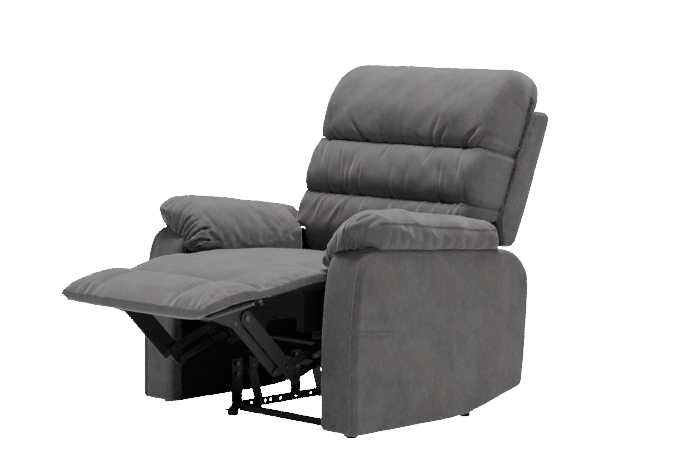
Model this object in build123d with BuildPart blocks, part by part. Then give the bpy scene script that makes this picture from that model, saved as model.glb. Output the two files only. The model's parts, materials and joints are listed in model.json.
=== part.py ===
"""Recliner armchair with a pull-out footrest, in millimetres.

+Z is up, the sitter faces -Y and X is across the chair. The origin is on the floor under the middle of
the chair. Side views are drawn as (back, up): back is measured rearwards from the front of the arms.
"""

from build123d import *
from math import atan2, cos, hypot, radians, sin, sqrt
import os

os.makedirs("parts", exist_ok=True)

# Driving sizes of the upholstery
ARM_FRONT = -249.0  # Y of the front of the arms
WIDTH = 860.0  # over the arm panels
ARM_THICK = 134.0
ARM_LENGTH = 692.0
ARM_LIFT = 50.0  # floor to the arm panels
ARM_TOP_FRONT = 546.0  # height of the panel's top line at its front
ARM_TOP_REAR = 492.0
ARM_ROUND = 78.0  # front and rear top corners of a panel
ARM_REAR_RISE = 57.0  # how far the bottom rises at the rear
INNER_PAD = 50.0  # pad between an arm panel and the seat
PAD_FRONT = 36.0  # front end of an arm pad
PAD_REAR = ARM_LENGTH - 126.0
PAD_HIGH_FRONT = 92.0  # arm pad over the panel, at its front
PAD_HIGH_REAR = 68.0
PAD_PROUD = 4.0  # how far an arm pad stands out over its panel
SEAT_CLEAR = 6.0  # seat to inner pad
FOOTREST_CLEAR = 11.0  # footrest to arm panel
SEAT_DROP = 4.8  # degrees that the seat falls towards the back
SEAT_REAR = 468.0  # rear end of the seat cushion
SEAT_CROWN = 13.0
NOSE_R = 40.0  # rolled front of the seat cushion
NOSE_BOARD_R = 18.0
BACK_LEAN = 23.0  # degrees from upright, as photographed
BACK_HALF = 335.0  # half width of the back cushions
SHELL_HALF = 330.0
SHELL_WALL = 14.0
SHELL_FRONT = 20.0  # depths behind the back pivot, square to the back
SHELL_REAR = 113.0
BACK_FACE = -142.0
LUMBAR_LOW = 24.0  # heights over the back pivot, along the back
WING_LOW = 197.0
SEAM_LOW = 212.0
SEAM_HIGH = 377.0
BACK_TOP = 647.0
SHELL_TOP = 566.0
SHELL_LOW = 157.0
BRIDGE_END = -195.0  # crease between the bridge pad and the footrest pad
FOOTREST_FRONT = -395.0
BOARD_THICK = 10.0

# Driving sizes of the steel parts
STEEL = 4.0
LAYER_GAP = 1.5
PIN_R = 4.0
HEAD_R = 8.0
HEAD_HIGH = 2.5
RUN_CLEAR = 0.05  # radial play of a pivot
OPEN_CLEAR = 0.3  # radial play where a linkage loop is open
SWAY_CLEAR = 2.4  # radial play of the recline link's upper eye
END_CLEAR = 0.3  # play along a pin
LINK_HALF = 10.0
BOX_BOARD = 28.0
BOX_LOW = 304.0
BOX_FRONT = 20.0
BOX_REAR = 545.0
BOX_HIGH = 412.0  # top of the seat box at its front
RAIL_LOW = 14.0
RAIL_HIGH = 40.0
RAIL_FLANGE = 20.0
RAIL_FRONT = 160.0
RAIL_REAR = 650.0
TUBE = 20.0

# Pivots in side view
FOLD_AXIS = (-15.0, 430.0)  # footrest hinge at the seat's rolled front
BRACKET_UPPER = (-197.0, 365.0)  # upper link on the footrest bracket
BRACKET_LOWER = (-230.0, 354.0)  # lower link on the footrest bracket
LINK_SHIFT = (142.0, -145.0)  # from the bracket pivots to the elbow
LINK_TAIL = 1.22  # length of the upper link with its tail, in elbow lengths
CRANK = 60.0
DRIVE_SHIFT = (82.0, -47.0)  # from the front link's pivot to the drive tube
SWING_LOW = (272.0, 27.0)
SWING_HIGH = (240.0, 140.0)
SWING_PITCH = 248.0  # front to rear swing link
BACK_PIVOT = (575.0, 375.0)
RECLINE_LOW = (618.0, 27.0)
RECLINE_HIGH = (579.0, 320.0)

# Values worked out from the driving sizes
half_width = WIDTH / 2
arm_inner = half_width - ARM_THICK
pad_inner = arm_inner - INNER_PAD
seat_half = pad_inner - SEAT_CLEAR
footrest_half = arm_inner - FOOTREST_CLEAR
layer_step = STEEL + LAYER_GAP
box_outer = seat_half - 4 * layer_step
LAYERS = [box_outer + step * layer_step for step in range(4)]


def move(point, shift, share=1.0):
    """A side view point moved by a share of a shift."""
    return (point[0] + share * shift[0], point[1] + share * shift[1])


front_pivot = move(FOLD_AXIS, LINK_SHIFT)
rear_pivot = move(FOLD_AXIS, LINK_SHIFT, LINK_TAIL)
elbow = move(BRACKET_UPPER, LINK_SHIFT)
tail = move(BRACKET_UPPER, LINK_SHIFT, LINK_TAIL)
toe = move(BRACKET_LOWER, LINK_SHIFT)
drive_pivot = move(front_pivot, DRIVE_SHIFT)
arm_vector = (BRACKET_UPPER[0] - FOLD_AXIS[0], BRACKET_UPPER[1] - FOLD_AXIS[1])
crank_share = CRANK / hypot(*arm_vector)
crank_pin = move(front_pivot, arm_vector, crank_share)
crank_end = move(drive_pivot, arm_vector, crank_share)
rear_swing_low = move(SWING_LOW, (SWING_PITCH, 0))
rear_swing_high = move(SWING_HIGH, (SWING_PITCH, 0))


def panel_top(back):
    """Height of an arm panel's top line."""
    return ARM_TOP_FRONT + (ARM_TOP_REAR - ARM_TOP_FRONT) * back / ARM_LENGTH


def box_top(back):
    """Height of the seat box's top edge."""
    return BOX_HIGH - (back - BOX_FRONT) * sin(radians(SEAT_DROP)) / cos(radians(SEAT_DROP))


def side(x):
    """Side view plane at x, drawn as (back, up)."""
    return Plane(origin=(x, ARM_FRONT, 0), x_dir=(0, 1, 0), z_dir=(1, 0, 0))


def leaned(x):
    """Side view plane at x that leans with the back, drawn as (depth, height) from the back pivot."""
    lean = radians(BACK_LEAN)
    origin = (x, ARM_FRONT + BACK_PIVOT[0], BACK_PIVOT[1])
    return Plane(origin=origin, x_dir=(0, cos(lean), -sin(lean)), z_dir=(1, 0, 0))


def on_back(point):
    """A side view point as (depth, height) on the leaned plane."""
    lean = radians(BACK_LEAN)
    back = point[0] - BACK_PIVOT[0]
    up = point[1] - BACK_PIVOT[1]
    return (back * cos(lean) - up * sin(lean), back * sin(lean) + up * cos(lean))


def low_x(x, thick, hand):
    """The lower X of a slab that starts at x, on the left (1) or right (-1)."""
    return x if hand > 0 else -x - thick


def save(part, name):
    """Label a finished piece and write it."""
    part.label = name
    export_step(part, f"parts/{name}.step")


SIDES = (("left", 1), ("right", -1))


# Base: rails, cross tubes and feet
RAIL_HOLES = (245.0, 300.0, 322.0, 361.0, 422.0, 483.0)
RAIL_HOLE_R = 4.0
RAIL_NOSE = 25.0
FOOT_R = 17.0
FRONT_FOOT = 177.0
REAR_FOOT = 632.0
FRONT_TUBE = 207.0
REAR_TUBE = 570.0
foot_x = LAYERS[3] + STEEL + 1.5

for word, hand in SIDES:
    rail_pins = (SWING_LOW, rear_swing_low, RECLINE_LOW)
    with BuildPart() as base_rail:
        with BuildSketch(side(low_x(LAYERS[3], STEEL, hand))):
            with BuildLine():
                Polyline(
                    (RAIL_FRONT, RAIL_LOW),
                    (RAIL_REAR, RAIL_LOW),
                    (RAIL_REAR, RAIL_HIGH),
                    (RAIL_FRONT + RAIL_NOSE, RAIL_HIGH),
                    (RAIL_FRONT, (RAIL_LOW + RAIL_HIGH) / 2),
                    close=True,
                )
            make_face()
            with Locations(*[(back, (RAIL_LOW + RAIL_HIGH) / 2) for back in RAIL_HOLES]):
                Circle(RAIL_HOLE_R, mode=Mode.SUBTRACT)
            with Locations(*rail_pins):
                Circle(PIN_R, mode=Mode.SUBTRACT)
        extrude(amount=STEEL)
        with BuildSketch(side(low_x(LAYERS[3] + STEEL, RAIL_FLANGE, hand))):
            with Locations(((RAIL_FRONT + RAIL_REAR) / 2, RAIL_LOW + STEEL / 2)):
                Rectangle(RAIL_REAR - RAIL_FRONT, STEEL)
        extrude(amount=RAIL_FLANGE)
    save(base_rail.part, f"base_rail_{word}")

for name, back in (("base_front_tube", FRONT_TUBE), ("base_rear_tube", REAR_TUBE)):
    with BuildPart() as cross_tube:
        with BuildSketch(side(-LAYERS[3])):
            with Locations((back, TUBE)):
                RectangleRounded(TUBE, TUBE, 3)
                RectangleRounded(TUBE - 3.2, TUBE - 3.2, 1.5, mode=Mode.SUBTRACT)
        extrude(amount=2 * LAYERS[3])
    save(cross_tube.part, name)

with BuildPart() as base_feet:
    with BuildSketch():
        feet = [(hand * foot_x, ARM_FRONT + back) for hand in (1, -1) for back in (FRONT_FOOT, REAR_FOOT)]
        with Locations(*feet):
            Circle(FOOT_R)
    extrude(amount=RAIL_LOW)
    chamfer(base_feet.faces().sort_by(Axis.Z)[:4].edges(), 2.5)
save(base_feet.part, "base_feet")

# Arms: brackets, panels and pads
BRACKET_STARTS = (222.0, 455.0)
BRACKET_LONG = 40.0
BRACKET_HIGH = 150.0
BOLT_R = 4.0
BOLT_HEIGHTS = (105.0, 135.0)
bracket_floor = RAIL_LOW + STEEL
bracket_start = LAYERS[3] + STEEL + 5
bolt_spots = [(start + BRACKET_LONG / 2, up) for start in BRACKET_STARTS for up in BOLT_HEIGHTS]

for word, hand in SIDES:
    with BuildPart() as arm_brackets:
        for start in BRACKET_STARTS:
            with BuildSketch(side(low_x(bracket_start, arm_inner - bracket_start, hand))):
                with Locations((start + BRACKET_LONG / 2, bracket_floor + STEEL / 2)):
                    Rectangle(BRACKET_LONG, STEEL)
            extrude(amount=arm_inner - bracket_start)
            with BuildSketch(side(low_x(arm_inner - STEEL, STEEL, hand))):
                with Locations((start + BRACKET_LONG / 2, (bracket_floor + BRACKET_HIGH) / 2)):
                    Rectangle(BRACKET_LONG, BRACKET_HIGH - bracket_floor)
                with Locations(*[spot for spot in bolt_spots if start < spot[0] < start + BRACKET_LONG]):
                    Circle(BOLT_R, mode=Mode.SUBTRACT)
            extrude(amount=STEEL)
    save(arm_brackets.part, f"arm_brackets_{word}")

with BuildPart() as arm_bolts:
    for hand in (1, -1):
        with BuildSketch(side(low_x(arm_inner - STEEL, STEEL, hand))):
            with Locations(*bolt_spots):
                Circle(BOLT_R)
        extrude(amount=STEEL)
        with BuildSketch(side(low_x(arm_inner - STEEL - 5, 5, hand))):
            with Locations(*bolt_spots):
                RegularPolygon(7.5, 6)
        extrude(amount=5)
save(arm_bolts.part, "arm_bolts")

GLIDES = (40.0, 360.0)
GLIDE_R = 12.0
GLIDE_HIGH = 9.0
with BuildPart() as arm_glides:
    with BuildSketch(Plane.XY.offset(ARM_LIFT - GLIDE_HIGH)):
        glide_x = half_width - ARM_THICK / 2
        spots = [(hand * glide_x, ARM_FRONT + back) for hand in (1, -1) for back in GLIDES]
        with Locations(*spots):
            Circle(GLIDE_R)
    extrude(amount=GLIDE_HIGH)
save(arm_glides.part, "arm_glides")

# The release sits in a pocket on the outer face of the right arm
POCKET_BACK = 205.0
POCKET_UP = 410.0
POCKET_LONG = 112.0
POCKET_TALL = 60.0
POCKET_DEEP = 32.0
BEZEL_RIM = 8.0
BEZEL_WALL = 3.0
BEZEL_FACE = 4.0
PADDLE_TALL = 26.0
PADDLE_THICK = 6.0
PADDLE_PIN_R = 2.5
SOFT_EDGE = 9.0

for word, hand in SIDES:
    with BuildPart() as arm_panel:
        with BuildSketch(side(low_x(arm_inner, ARM_THICK, hand))) as outline:
            with BuildLine():
                Polyline(
                    (0, ARM_LIFT),
                    (0, panel_top(0)),
                    (ARM_LENGTH, panel_top(ARM_LENGTH)),
                    (ARM_LENGTH - 29, ARM_LIFT + ARM_REAR_RISE),
                    (0.6 * ARM_LENGTH, ARM_LIFT),
                    close=True,
                )
            make_face()
            fillet(outline.vertices().sort_by(Axis.Y)[-2:], ARM_ROUND)
        extrude(amount=ARM_THICK)
        fillet(arm_panel.faces().filter_by(Axis.X).edges(), SOFT_EDGE)
        if hand < 0:
            with BuildSketch(side(-half_width)):
                with Locations((POCKET_BACK, POCKET_UP)):
                    RectangleRounded(POCKET_LONG, POCKET_TALL, 12)
            extrude(amount=POCKET_DEEP, mode=Mode.SUBTRACT)
    save(arm_panel.part, f"arm_panel_{word}")

# Arm pads: a crowned pad over each panel and a flat pad down its inner side
PAD_CROWN_R = 36.0
PAD_DROP_R = 56.0  # where the pad turns down to the seat
PAD_NOSE_R = 66.0
INNER_FRONT = 45.0
INNER_REAR = 575.0
INNER_LOW = 300.0
pad_span = half_width + PAD_PROUD - pad_inner

for word, hand in SIDES:
    with BuildPart() as arm_pad:
        with BuildSketch(side(low_x(pad_inner, pad_span, hand))) as outline:
            with BuildLine():
                Polyline(
                    (PAD_FRONT, panel_top(PAD_FRONT)),
                    (PAD_FRONT, panel_top(PAD_FRONT) + PAD_HIGH_FRONT),
                    (PAD_REAR, panel_top(PAD_REAR) + PAD_HIGH_REAR),
                    (PAD_REAR, panel_top(PAD_REAR)),
                    close=True,
                )
            make_face()
            fillet(outline.vertices().sort_by(Axis.Y)[-1:], PAD_NOSE_R)
        extrude(amount=pad_span)
        for number, radius in ((0, PAD_DROP_R), (-1, PAD_CROWN_R)):
            face = arm_pad.faces().filter_by(Axis.X).sort_by(Axis.X)[::hand][number]
            fillet([edge for edge in face.edges() if edge.center().Z > panel_top(0) + 20], radius)
    save(arm_pad.part, f"arm_pad_{word}")

    with BuildPart() as inner_pad:
        with BuildSketch(side(low_x(pad_inner, INNER_PAD, hand))) as outline:
            with BuildLine():
                Polyline(
                    (INNER_FRONT, INNER_LOW),
                    (INNER_FRONT, panel_top(INNER_FRONT)),
                    (INNER_REAR, panel_top(INNER_REAR)),
                    (INNER_REAR, INNER_LOW),
                    close=True,
                )
            make_face()
            fillet(outline.vertices().sort_by(Axis.Y)[:2], 40)
        extrude(amount=INNER_PAD)
        inner_face = inner_pad.faces().sort_by(Axis.X)[0 if hand > 0 else -1]
        fillet([edge for edge in inner_face.edges() if edge.center().Z < panel_top(INNER_REAR) - 5], 14)
    save(inner_pad.part, f"arm_inner_pad_{word}")

# Release: bezel in the right arm's pocket, and its sprung paddle
paddle_pin = (half_width - 8.0, POCKET_UP + POCKET_TALL / 2 - BEZEL_WALL - 6.0)  # distance out, height
paddle_long = POCKET_LONG - 2 * BEZEL_WALL - 20.0

with BuildPart() as release_bezel:
    with BuildSketch(side(-half_width)):
        with Locations((POCKET_BACK, POCKET_UP)):
            RectangleRounded(POCKET_LONG, POCKET_TALL, 12)
    extrude(amount=POCKET_DEEP)
    with BuildSketch(side(-half_width - BEZEL_FACE)):
        with Locations((POCKET_BACK, POCKET_UP)):
            RectangleRounded(POCKET_LONG + 2 * BEZEL_RIM, POCKET_TALL + 2 * BEZEL_RIM, 16)
    extrude(amount=BEZEL_FACE)
    with BuildSketch(side(-half_width - BEZEL_FACE)):
        with Locations((POCKET_BACK, POCKET_UP)):
            RectangleRounded(POCKET_LONG - 2 * BEZEL_WALL, POCKET_TALL - 2 * BEZEL_WALL, 9)
    extrude(amount=BEZEL_FACE + POCKET_DEEP - BEZEL_WALL, mode=Mode.SUBTRACT)
    with BuildSketch(Plane.XZ.offset(-ARM_FRONT - POCKET_BACK - (POCKET_LONG - BEZEL_WALL) / 2)):
        with Locations((-paddle_pin[0], paddle_pin[1])):
            Circle(PADDLE_PIN_R)
    extrude(amount=POCKET_LONG - BEZEL_WALL)
save(release_bezel.part, "release_bezel")

with BuildPart() as release_paddle:
    with BuildSketch(Plane.XZ.offset(-ARM_FRONT - POCKET_BACK - paddle_long / 2)):
        with Locations((-paddle_pin[0], paddle_pin[1])):
            Circle(5.0)
        with Locations((-paddle_pin[0], paddle_pin[1] - PADDLE_TALL / 2)):
            Rectangle(PADDLE_THICK, PADDLE_TALL)
        with Locations((-paddle_pin[0], paddle_pin[1])):
            Circle(PADDLE_PIN_R + RUN_CLEAR, mode=Mode.SUBTRACT)
    extrude(amount=paddle_long)
save(release_paddle.part, "release_paddle")

# Rear rail between the arm panels
REAR_RAIL_BACK = ARM_LENGTH - 52.0
REAR_RAIL_THICK = 20.0
REAR_RAIL_LOW = 112.0
REAR_RAIL_HIGH = 232.0
with BuildPart() as rear_rail:
    with BuildSketch(side(-arm_inner)):
        with Locations((REAR_RAIL_BACK + REAR_RAIL_THICK / 2, (REAR_RAIL_LOW + REAR_RAIL_HIGH) / 2)):
            RectangleRounded(REAR_RAIL_THICK, REAR_RAIL_HIGH - REAR_RAIL_LOW, 6)
    extrude(amount=2 * arm_inner)
save(rear_rail.part, "rear_rail")


def rivet(spot, start, end, hand, head_start=True, head_end=True, collar=None):
    """A rivet along X from start to end, with a head outside each end that asks for one."""
    spans = [(start, end, PIN_R)]
    if head_start:
        spans.append((start - HEAD_HIGH, start, HEAD_R))
    if head_end:
        spans.append((end, end + HEAD_HIGH, HEAD_R))
    if collar:
        spans.append((collar[0], collar[1], HEAD_R))
    for low, high, radius in spans:
        with BuildSketch(side(low_x(low, high - low, hand))) as disc:
            with Locations(spot):
                Circle(radius)
        extrude(disc.sketch, amount=high - low)


def link_sketch(eyes, holes):
    """A flat link's outline around its eyes, less its holes, in the sketch being drawn."""
    for spot, radius in eyes:
        with Locations(spot):
            Circle(radius)
    make_hull()
    for spot, radius in holes:
        with Locations(spot):
            Circle(radius, mode=Mode.SUBTRACT)


def layer_end(number):
    """Outer face of a layer of links."""
    return LAYERS[number] + STEEL


with BuildPart() as base_rivets:
    for hand in (1, -1):
        for spot in (SWING_LOW, rear_swing_low, RECLINE_LOW):
            washer = (layer_end(2) + END_CLEAR, LAYERS[3])
            rivet(spot, LAYERS[2] - END_CLEAR, layer_end(3), hand, collar=washer)
save(base_rivets.part, "base_rivets")

# Swing links carry the seat, and recline links tip the back as the seat moves
SWING_EYE = 16.0
RECLINE_EYE = 12.0
run_r = PIN_R + RUN_CLEAR
for word, hand in SIDES:
    swings = (("front", SWING_LOW, SWING_HIGH), ("rear", rear_swing_low, rear_swing_high))
    for name, low, high in swings:
        high_r = run_r if name == "front" else PIN_R + OPEN_CLEAR
        with BuildPart() as swing_link:
            with BuildSketch(side(low_x(LAYERS[2], STEEL, hand))):
                link_sketch(((low, SWING_EYE), (high, SWING_EYE)), ((low, run_r), (high, high_r)))
            extrude(amount=STEEL)
        save(swing_link.part, f"{name}_swing_link_{word}")

    with BuildPart() as recline_link:
        with BuildSketch(side(low_x(LAYERS[2], STEEL, hand))):
            eyes = ((RECLINE_LOW, RECLINE_EYE), (RECLINE_HIGH, RECLINE_EYE))
            link_sketch(eyes, ((RECLINE_LOW, run_r), (RECLINE_HIGH, PIN_R + SWAY_CLEAR)))
        extrude(amount=STEEL)
    save(recline_link.part, f"recline_link_{word}")

# Seat plates hold every pivot of the carriage
PLATE_BAR = 84.0  # depth of the plate's long bar
PLATE_FRONT = 100.0
PLATE_TOP = 346.0
LEG_HALF = 22.0
EAR_R = 18.0
JOURNAL_R = 9.0
CARRIAGE_TUBE = (246.0, 174.0)
CARRIAGE_SIZE = 22.0
plate_low = PLATE_TOP - PLATE_BAR
plate_rear = BACK_PIVOT[0] + EAR_R

bar_ends = [
    (back, up)
    for back in (PLATE_FRONT + EAR_R, plate_rear - EAR_R)
    for up in (PLATE_TOP - EAR_R, plate_low + EAR_R)
]
drive_root = (drive_pivot[0] + 40, plate_low + EAR_R)
rear_heel = (plate_rear - EAR_R, plate_low + EAR_R)
rear_root = (plate_rear - 60, plate_low + EAR_R)
plate_webs = [
    [(spot, EAR_R) for spot in bar_ends],
    [(spot, EAR_R) for spot in (front_pivot, rear_pivot, drive_pivot, drive_root)],
    [(spot, EAR_R) for spot in (BACK_PIVOT, rear_heel, rear_root)],
]
for low in (SWING_HIGH, rear_swing_high):
    roots = ((low[0], plate_low + EAR_R), (low[0] + 2 * LEG_HALF, plate_low + EAR_R))
    plate_webs.append([(low, SWING_EYE)] + [(root, EAR_R) for root in roots])

for word, hand in SIDES:
    with BuildPart() as seat_plate:
        plate_plane = side(low_x(LAYERS[0], STEEL, hand))
        for eyes in plate_webs:
            with BuildSketch(plate_plane):
                link_sketch(eyes, ())
            extrude(amount=STEEL)
        with BuildSketch(plate_plane):
            with Locations(front_pivot, rear_pivot, SWING_HIGH, rear_swing_high, BACK_PIVOT):
                Circle(PIN_R)
            with Locations(drive_pivot):
                Circle(JOURNAL_R + RUN_CLEAR)
        extrude(amount=STEEL, mode=Mode.SUBTRACT)
    save(seat_plate.part, f"seat_plate_{word}")

with BuildPart() as carriage_rivets:
    for hand in (1, -1):
        near_washer = (layer_end(0), LAYERS[1] - END_CLEAR)
        for spot in (front_pivot, rear_pivot, BACK_PIVOT):
            rivet(spot, LAYERS[0], layer_end(1) + END_CLEAR, hand, head_start=False, collar=near_washer)
        far_washer = (layer_end(0), LAYERS[2] - END_CLEAR)
        for spot in (SWING_HIGH, rear_swing_high):
            rivet(spot, LAYERS[0], layer_end(2) + END_CLEAR, hand, head_start=False, collar=far_washer)
save(carriage_rivets.part, "carriage_rivets")

with BuildPart() as carriage_tube:
    with BuildSketch(side(-LAYERS[0])):
        with Locations(CARRIAGE_TUBE):
            RectangleRounded(CARRIAGE_SIZE, CARRIAGE_SIZE, 3)
            RectangleRounded(CARRIAGE_SIZE - 3.2, CARRIAGE_SIZE - 3.2, 1.5, mode=Mode.SUBTRACT)
    extrude(amount=2 * LAYERS[0])
save(carriage_tube.part, "carriage_tube")

# Seat box of boards, with a rounded nose board that the footrest folds around
RAIL_DROP = 72.0  # depth of the box's front board
box_inner = box_outer - BOX_BOARD

with BuildPart() as seat_box:
    for start in (-box_outer, box_inner):
        with BuildSketch(side(start)):
            with BuildLine():
                Polyline(
                    (BOX_FRONT, BOX_LOW),
                    (BOX_FRONT, box_top(BOX_FRONT)),
                    (BOX_REAR, box_top(BOX_REAR)),
                    (BOX_REAR, BOX_LOW),
                    close=True,
                )
            make_face()
        extrude(amount=BOX_BOARD)
    with BuildSketch(side(-box_inner)):
        with BuildLine():
            Polyline(
                (BOX_FRONT, box_top(BOX_FRONT)),
                (BOX_FRONT, BOX_HIGH - RAIL_DROP),
                (BOX_FRONT + BOX_BOARD, BOX_HIGH - RAIL_DROP),
                (BOX_FRONT + BOX_BOARD, box_top(BOX_FRONT + BOX_BOARD)),
                close=True,
            )
        make_face()
        with BuildLine():
            Polyline(
                (BOX_REAR, box_top(BOX_REAR)),
                (BOX_REAR, BOX_LOW),
                (BOX_REAR - BOX_BOARD, BOX_LOW),
                (BOX_REAR - BOX_BOARD, box_top(BOX_REAR - BOX_BOARD)),
                close=True,
            )
        make_face()
    extrude(amount=2 * box_inner)
save(seat_box.part, "seat_box")

nose_rear = BOX_FRONT + BOX_BOARD


def nose_sketch():
    """The nose board's section in the sketch being drawn."""
    with Locations(FOLD_AXIS):
        Circle(NOSE_BOARD_R)
    with BuildLine() as edge:
        Polyline(
            (FOLD_AXIS[0], FOLD_AXIS[1] - NOSE_BOARD_R),
            (BOX_FRONT, box_top(BOX_FRONT)),
            (nose_rear, box_top(nose_rear)),
            (nose_rear, box_top(nose_rear) + 18),
            (FOLD_AXIS[0], FOLD_AXIS[1] + NOSE_BOARD_R),
            close=True,
        )
    make_face(edge.edges())


with BuildPart() as nose_board:
    with BuildSketch(side(-box_outer)):
        nose_sketch()
    extrude(amount=2 * box_outer)
save(nose_board.part, "seat_nose_board")

# Sinuous seat springs: half turns joined by straight runs, hooked between the front and rear boards
SPRING_COUNT = 4
SPRING_WIRE_R = 1.7
SPRING_TURN_R = 18.0
SPRING_HALF = 34.0
SPRING_BEND_R = 8.0
SPRING_DROP = 8.0  # below the box's top edge
SPRING_SEAT = 0.2  # between a spring's end and its board
spring_start = BOX_FRONT + BOX_BOARD + SPRING_SEAT
spring_end = BOX_REAR - BOX_BOARD - SPRING_SEAT
spring_slope = radians(SEAT_DROP)
spring_long = (spring_end - spring_start) / cos(spring_slope)
spring_turns = 2 * int((spring_long - 4 * SPRING_BEND_R) / (4 * SPRING_TURN_R))
spring_lead = (spring_long - spring_turns * 2 * SPRING_TURN_R) / 2
spring_run = SPRING_HALF - SPRING_TURN_R
bend_mid = SPRING_BEND_R * (1 - sqrt(0.5))


def spring_plane(x):
    """The sloping plane of a seat spring: first along X, second towards the back."""
    origin = (x, ARM_FRONT + spring_start, box_top(spring_start) - SPRING_DROP)
    return Plane(origin=origin, x_dir=(1, 0, 0), z_dir=(0, sin(spring_slope), cos(spring_slope)))


with BuildPart() as seat_springs:
    for number in range(SPRING_COUNT):
        spring_x = (number - (SPRING_COUNT - 1) / 2) * 2 * box_inner / SPRING_COUNT
        with BuildLine(spring_plane(spring_x)) as route:
            lead_end = (0, spring_lead - SPRING_BEND_R)
            Line((0, 0), lead_end)
            run_start = (SPRING_BEND_R, spring_lead)
            ThreePointArc(lead_end, (bend_mid, spring_lead - bend_mid), run_start)
            hand = 1
            for turn in range(spring_turns):
                back = spring_lead + turn * 2 * SPRING_TURN_R
                run_end = (hand * spring_run, back)
                Line(run_start, run_end)
                run_start = (hand * spring_run, back + 2 * SPRING_TURN_R)
                ThreePointArc(run_end, (hand * SPRING_HALF, back + SPRING_TURN_R), run_start)
                hand = -hand
            back = spring_long - spring_lead
            Line(run_start, (-SPRING_BEND_R, back))
            tail_start = (0, back + SPRING_BEND_R)
            ThreePointArc((-SPRING_BEND_R, back), (-bend_mid, back + bend_mid), tail_start)
            Line(tail_start, (0, spring_long))
        wire_start = Plane(origin=route.wires()[0] @ 0, z_dir=route.wires()[0] % 0)
        with BuildSketch(wire_start):
            Circle(SPRING_WIRE_R)
        sweep(path=route.wires()[0])
save(seat_springs.part, "seat_springs")


def swell(half, ends):
    """Stations across X and their fullness: full in the middle and drawn in at the sides."""
    shares = ((1.0, ends), (0.94, ends + 0.78 * (1 - ends)), (0.75, 1.0), (0.4, 1.0), (0.0, 1.0))
    left = [(-half * share, full) for share, full in shares]
    return left + [(-x, full) for x, full in reversed(left[:-1])]


# Seat cushion: crowned top, and a rolled nose that is wider than the gap between the inner pads
NOSE_TAIL = 10.0  # how far the wide nose runs back from the fold axis
SEAT_REAR_HIGH = 66.0  # cushion over the box at its rear end
SIDE_SINK = 16.0  # how far the top falls at the sides
nose_top = FOLD_AXIS[1] + NOSE_R
seat_rear_top = box_top(SEAT_REAR) + SEAT_REAR_HIGH

with BuildPart() as seat_cushion:
    for x, full in swell(seat_half, 0.0):
        sink = SIDE_SINK * (1 - full)
        with BuildSketch(side(x)):
            with BuildLine():
                Polyline(
                    (FOLD_AXIS[0], nose_top - sink / 4),
                    (FOLD_AXIS[0], FOLD_AXIS[1] + NOSE_BOARD_R),
                    (nose_rear, box_top(nose_rear) + 18),
                    (nose_rear, box_top(nose_rear)),
                    (SEAT_REAR, box_top(SEAT_REAR)),
                    (SEAT_REAR, seat_rear_top - sink),
                )
                middle = (0.45 * SEAT_REAR, (nose_top + seat_rear_top) / 2 + SEAT_CROWN - sink)
                rear_end = (SEAT_REAR, seat_rear_top - sink)
                front_end = (FOLD_AXIS[0], nose_top - sink / 4)
                ThreePointArc(rear_end, middle, front_end)
            make_face()
    loft()
    with BuildSketch(side(-footrest_half)):
        with Locations(FOLD_AXIS):
            Circle(NOSE_R)
        with Locations((FOLD_AXIS[0] + NOSE_R, FOLD_AXIS[1])):
            Rectangle(2 * NOSE_R, 2 * NOSE_R, mode=Mode.SUBTRACT)
        with Locations((FOLD_AXIS[0] + NOSE_TAIL / 2, FOLD_AXIS[1] + NOSE_R / 2)):
            Rectangle(NOSE_TAIL, NOSE_R)
    extrude(amount=2 * footrest_half)
    with BuildSketch(side(-box_outer)):
        nose_sketch()
    extrude(amount=2 * box_outer, mode=Mode.SUBTRACT)
save(seat_cushion.part, "seat_cushion")

# Back: steel brackets, wooden frame and outer shell
FRAME_DEEP = 32.0
POST_THICK = 33.0
POST_LOW = 40.0
FRAME_RAIL_HIGH = 32.0
FRAME_LOW_RAIL = 215.0
FRAME_MID_RAIL = 345.0
BRACKET_HALF = 15.0
frame_top = SHELL_TOP - SHELL_WALL
frame_rails = (FRAME_LOW_RAIL, FRAME_MID_RAIL, frame_top - FRAME_RAIL_HIGH)
bracket_top = FRAME_LOW_RAIL - BRACKET_HALF - 2
post_depth = SHELL_FRONT + FRAME_DEEP / 2
post_outer = LAYERS[1]
shell_inner = SHELL_HALF - SHELL_WALL

for word, hand in SIDES:
    with BuildPart() as back_bracket:
        bracket_plane = leaned(low_x(LAYERS[1], STEEL, hand))
        knee = (post_depth, 60.0)
        with BuildSketch(bracket_plane):
            link_sketch((((0, 0), EAR_R - 2), (on_back(RECLINE_HIGH), RECLINE_EYE)), ())
        extrude(amount=STEEL)
        with BuildSketch(bracket_plane):
            link_sketch((((0, 0), EAR_R - 2), (knee, BRACKET_HALF)), ())
        extrude(amount=STEEL)
        with BuildSketch(bracket_plane):
            link_sketch(((knee, BRACKET_HALF), ((post_depth, bracket_top), BRACKET_HALF)), ())
        extrude(amount=STEEL)
        with BuildSketch(bracket_plane):
            Circle(run_r)
        extrude(amount=STEEL, mode=Mode.SUBTRACT)
        stud_washer = (layer_end(1), LAYERS[2] - END_CLEAR)
        rivet(RECLINE_HIGH, LAYERS[1], layer_end(2) + END_CLEAR, hand, head_start=False, collar=stud_washer)
    save(back_bracket.part, f"back_bracket_{word}")

with BuildPart() as back_frame:
    for start in (-post_outer, post_outer - POST_THICK):
        with BuildSketch(leaned(start)):
            with Locations((post_depth, (POST_LOW + frame_top) / 2)):
                Rectangle(FRAME_DEEP, frame_top - POST_LOW)
        extrude(amount=POST_THICK)
    for low in frame_rails:
        with BuildSketch(leaned(-shell_inner)):
            with Locations((post_depth, low + FRAME_RAIL_HIGH / 2)):
                Rectangle(FRAME_DEEP, FRAME_RAIL_HIGH)
        extrude(amount=2 * shell_inner)
save(back_frame.part, "back_frame")

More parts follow.
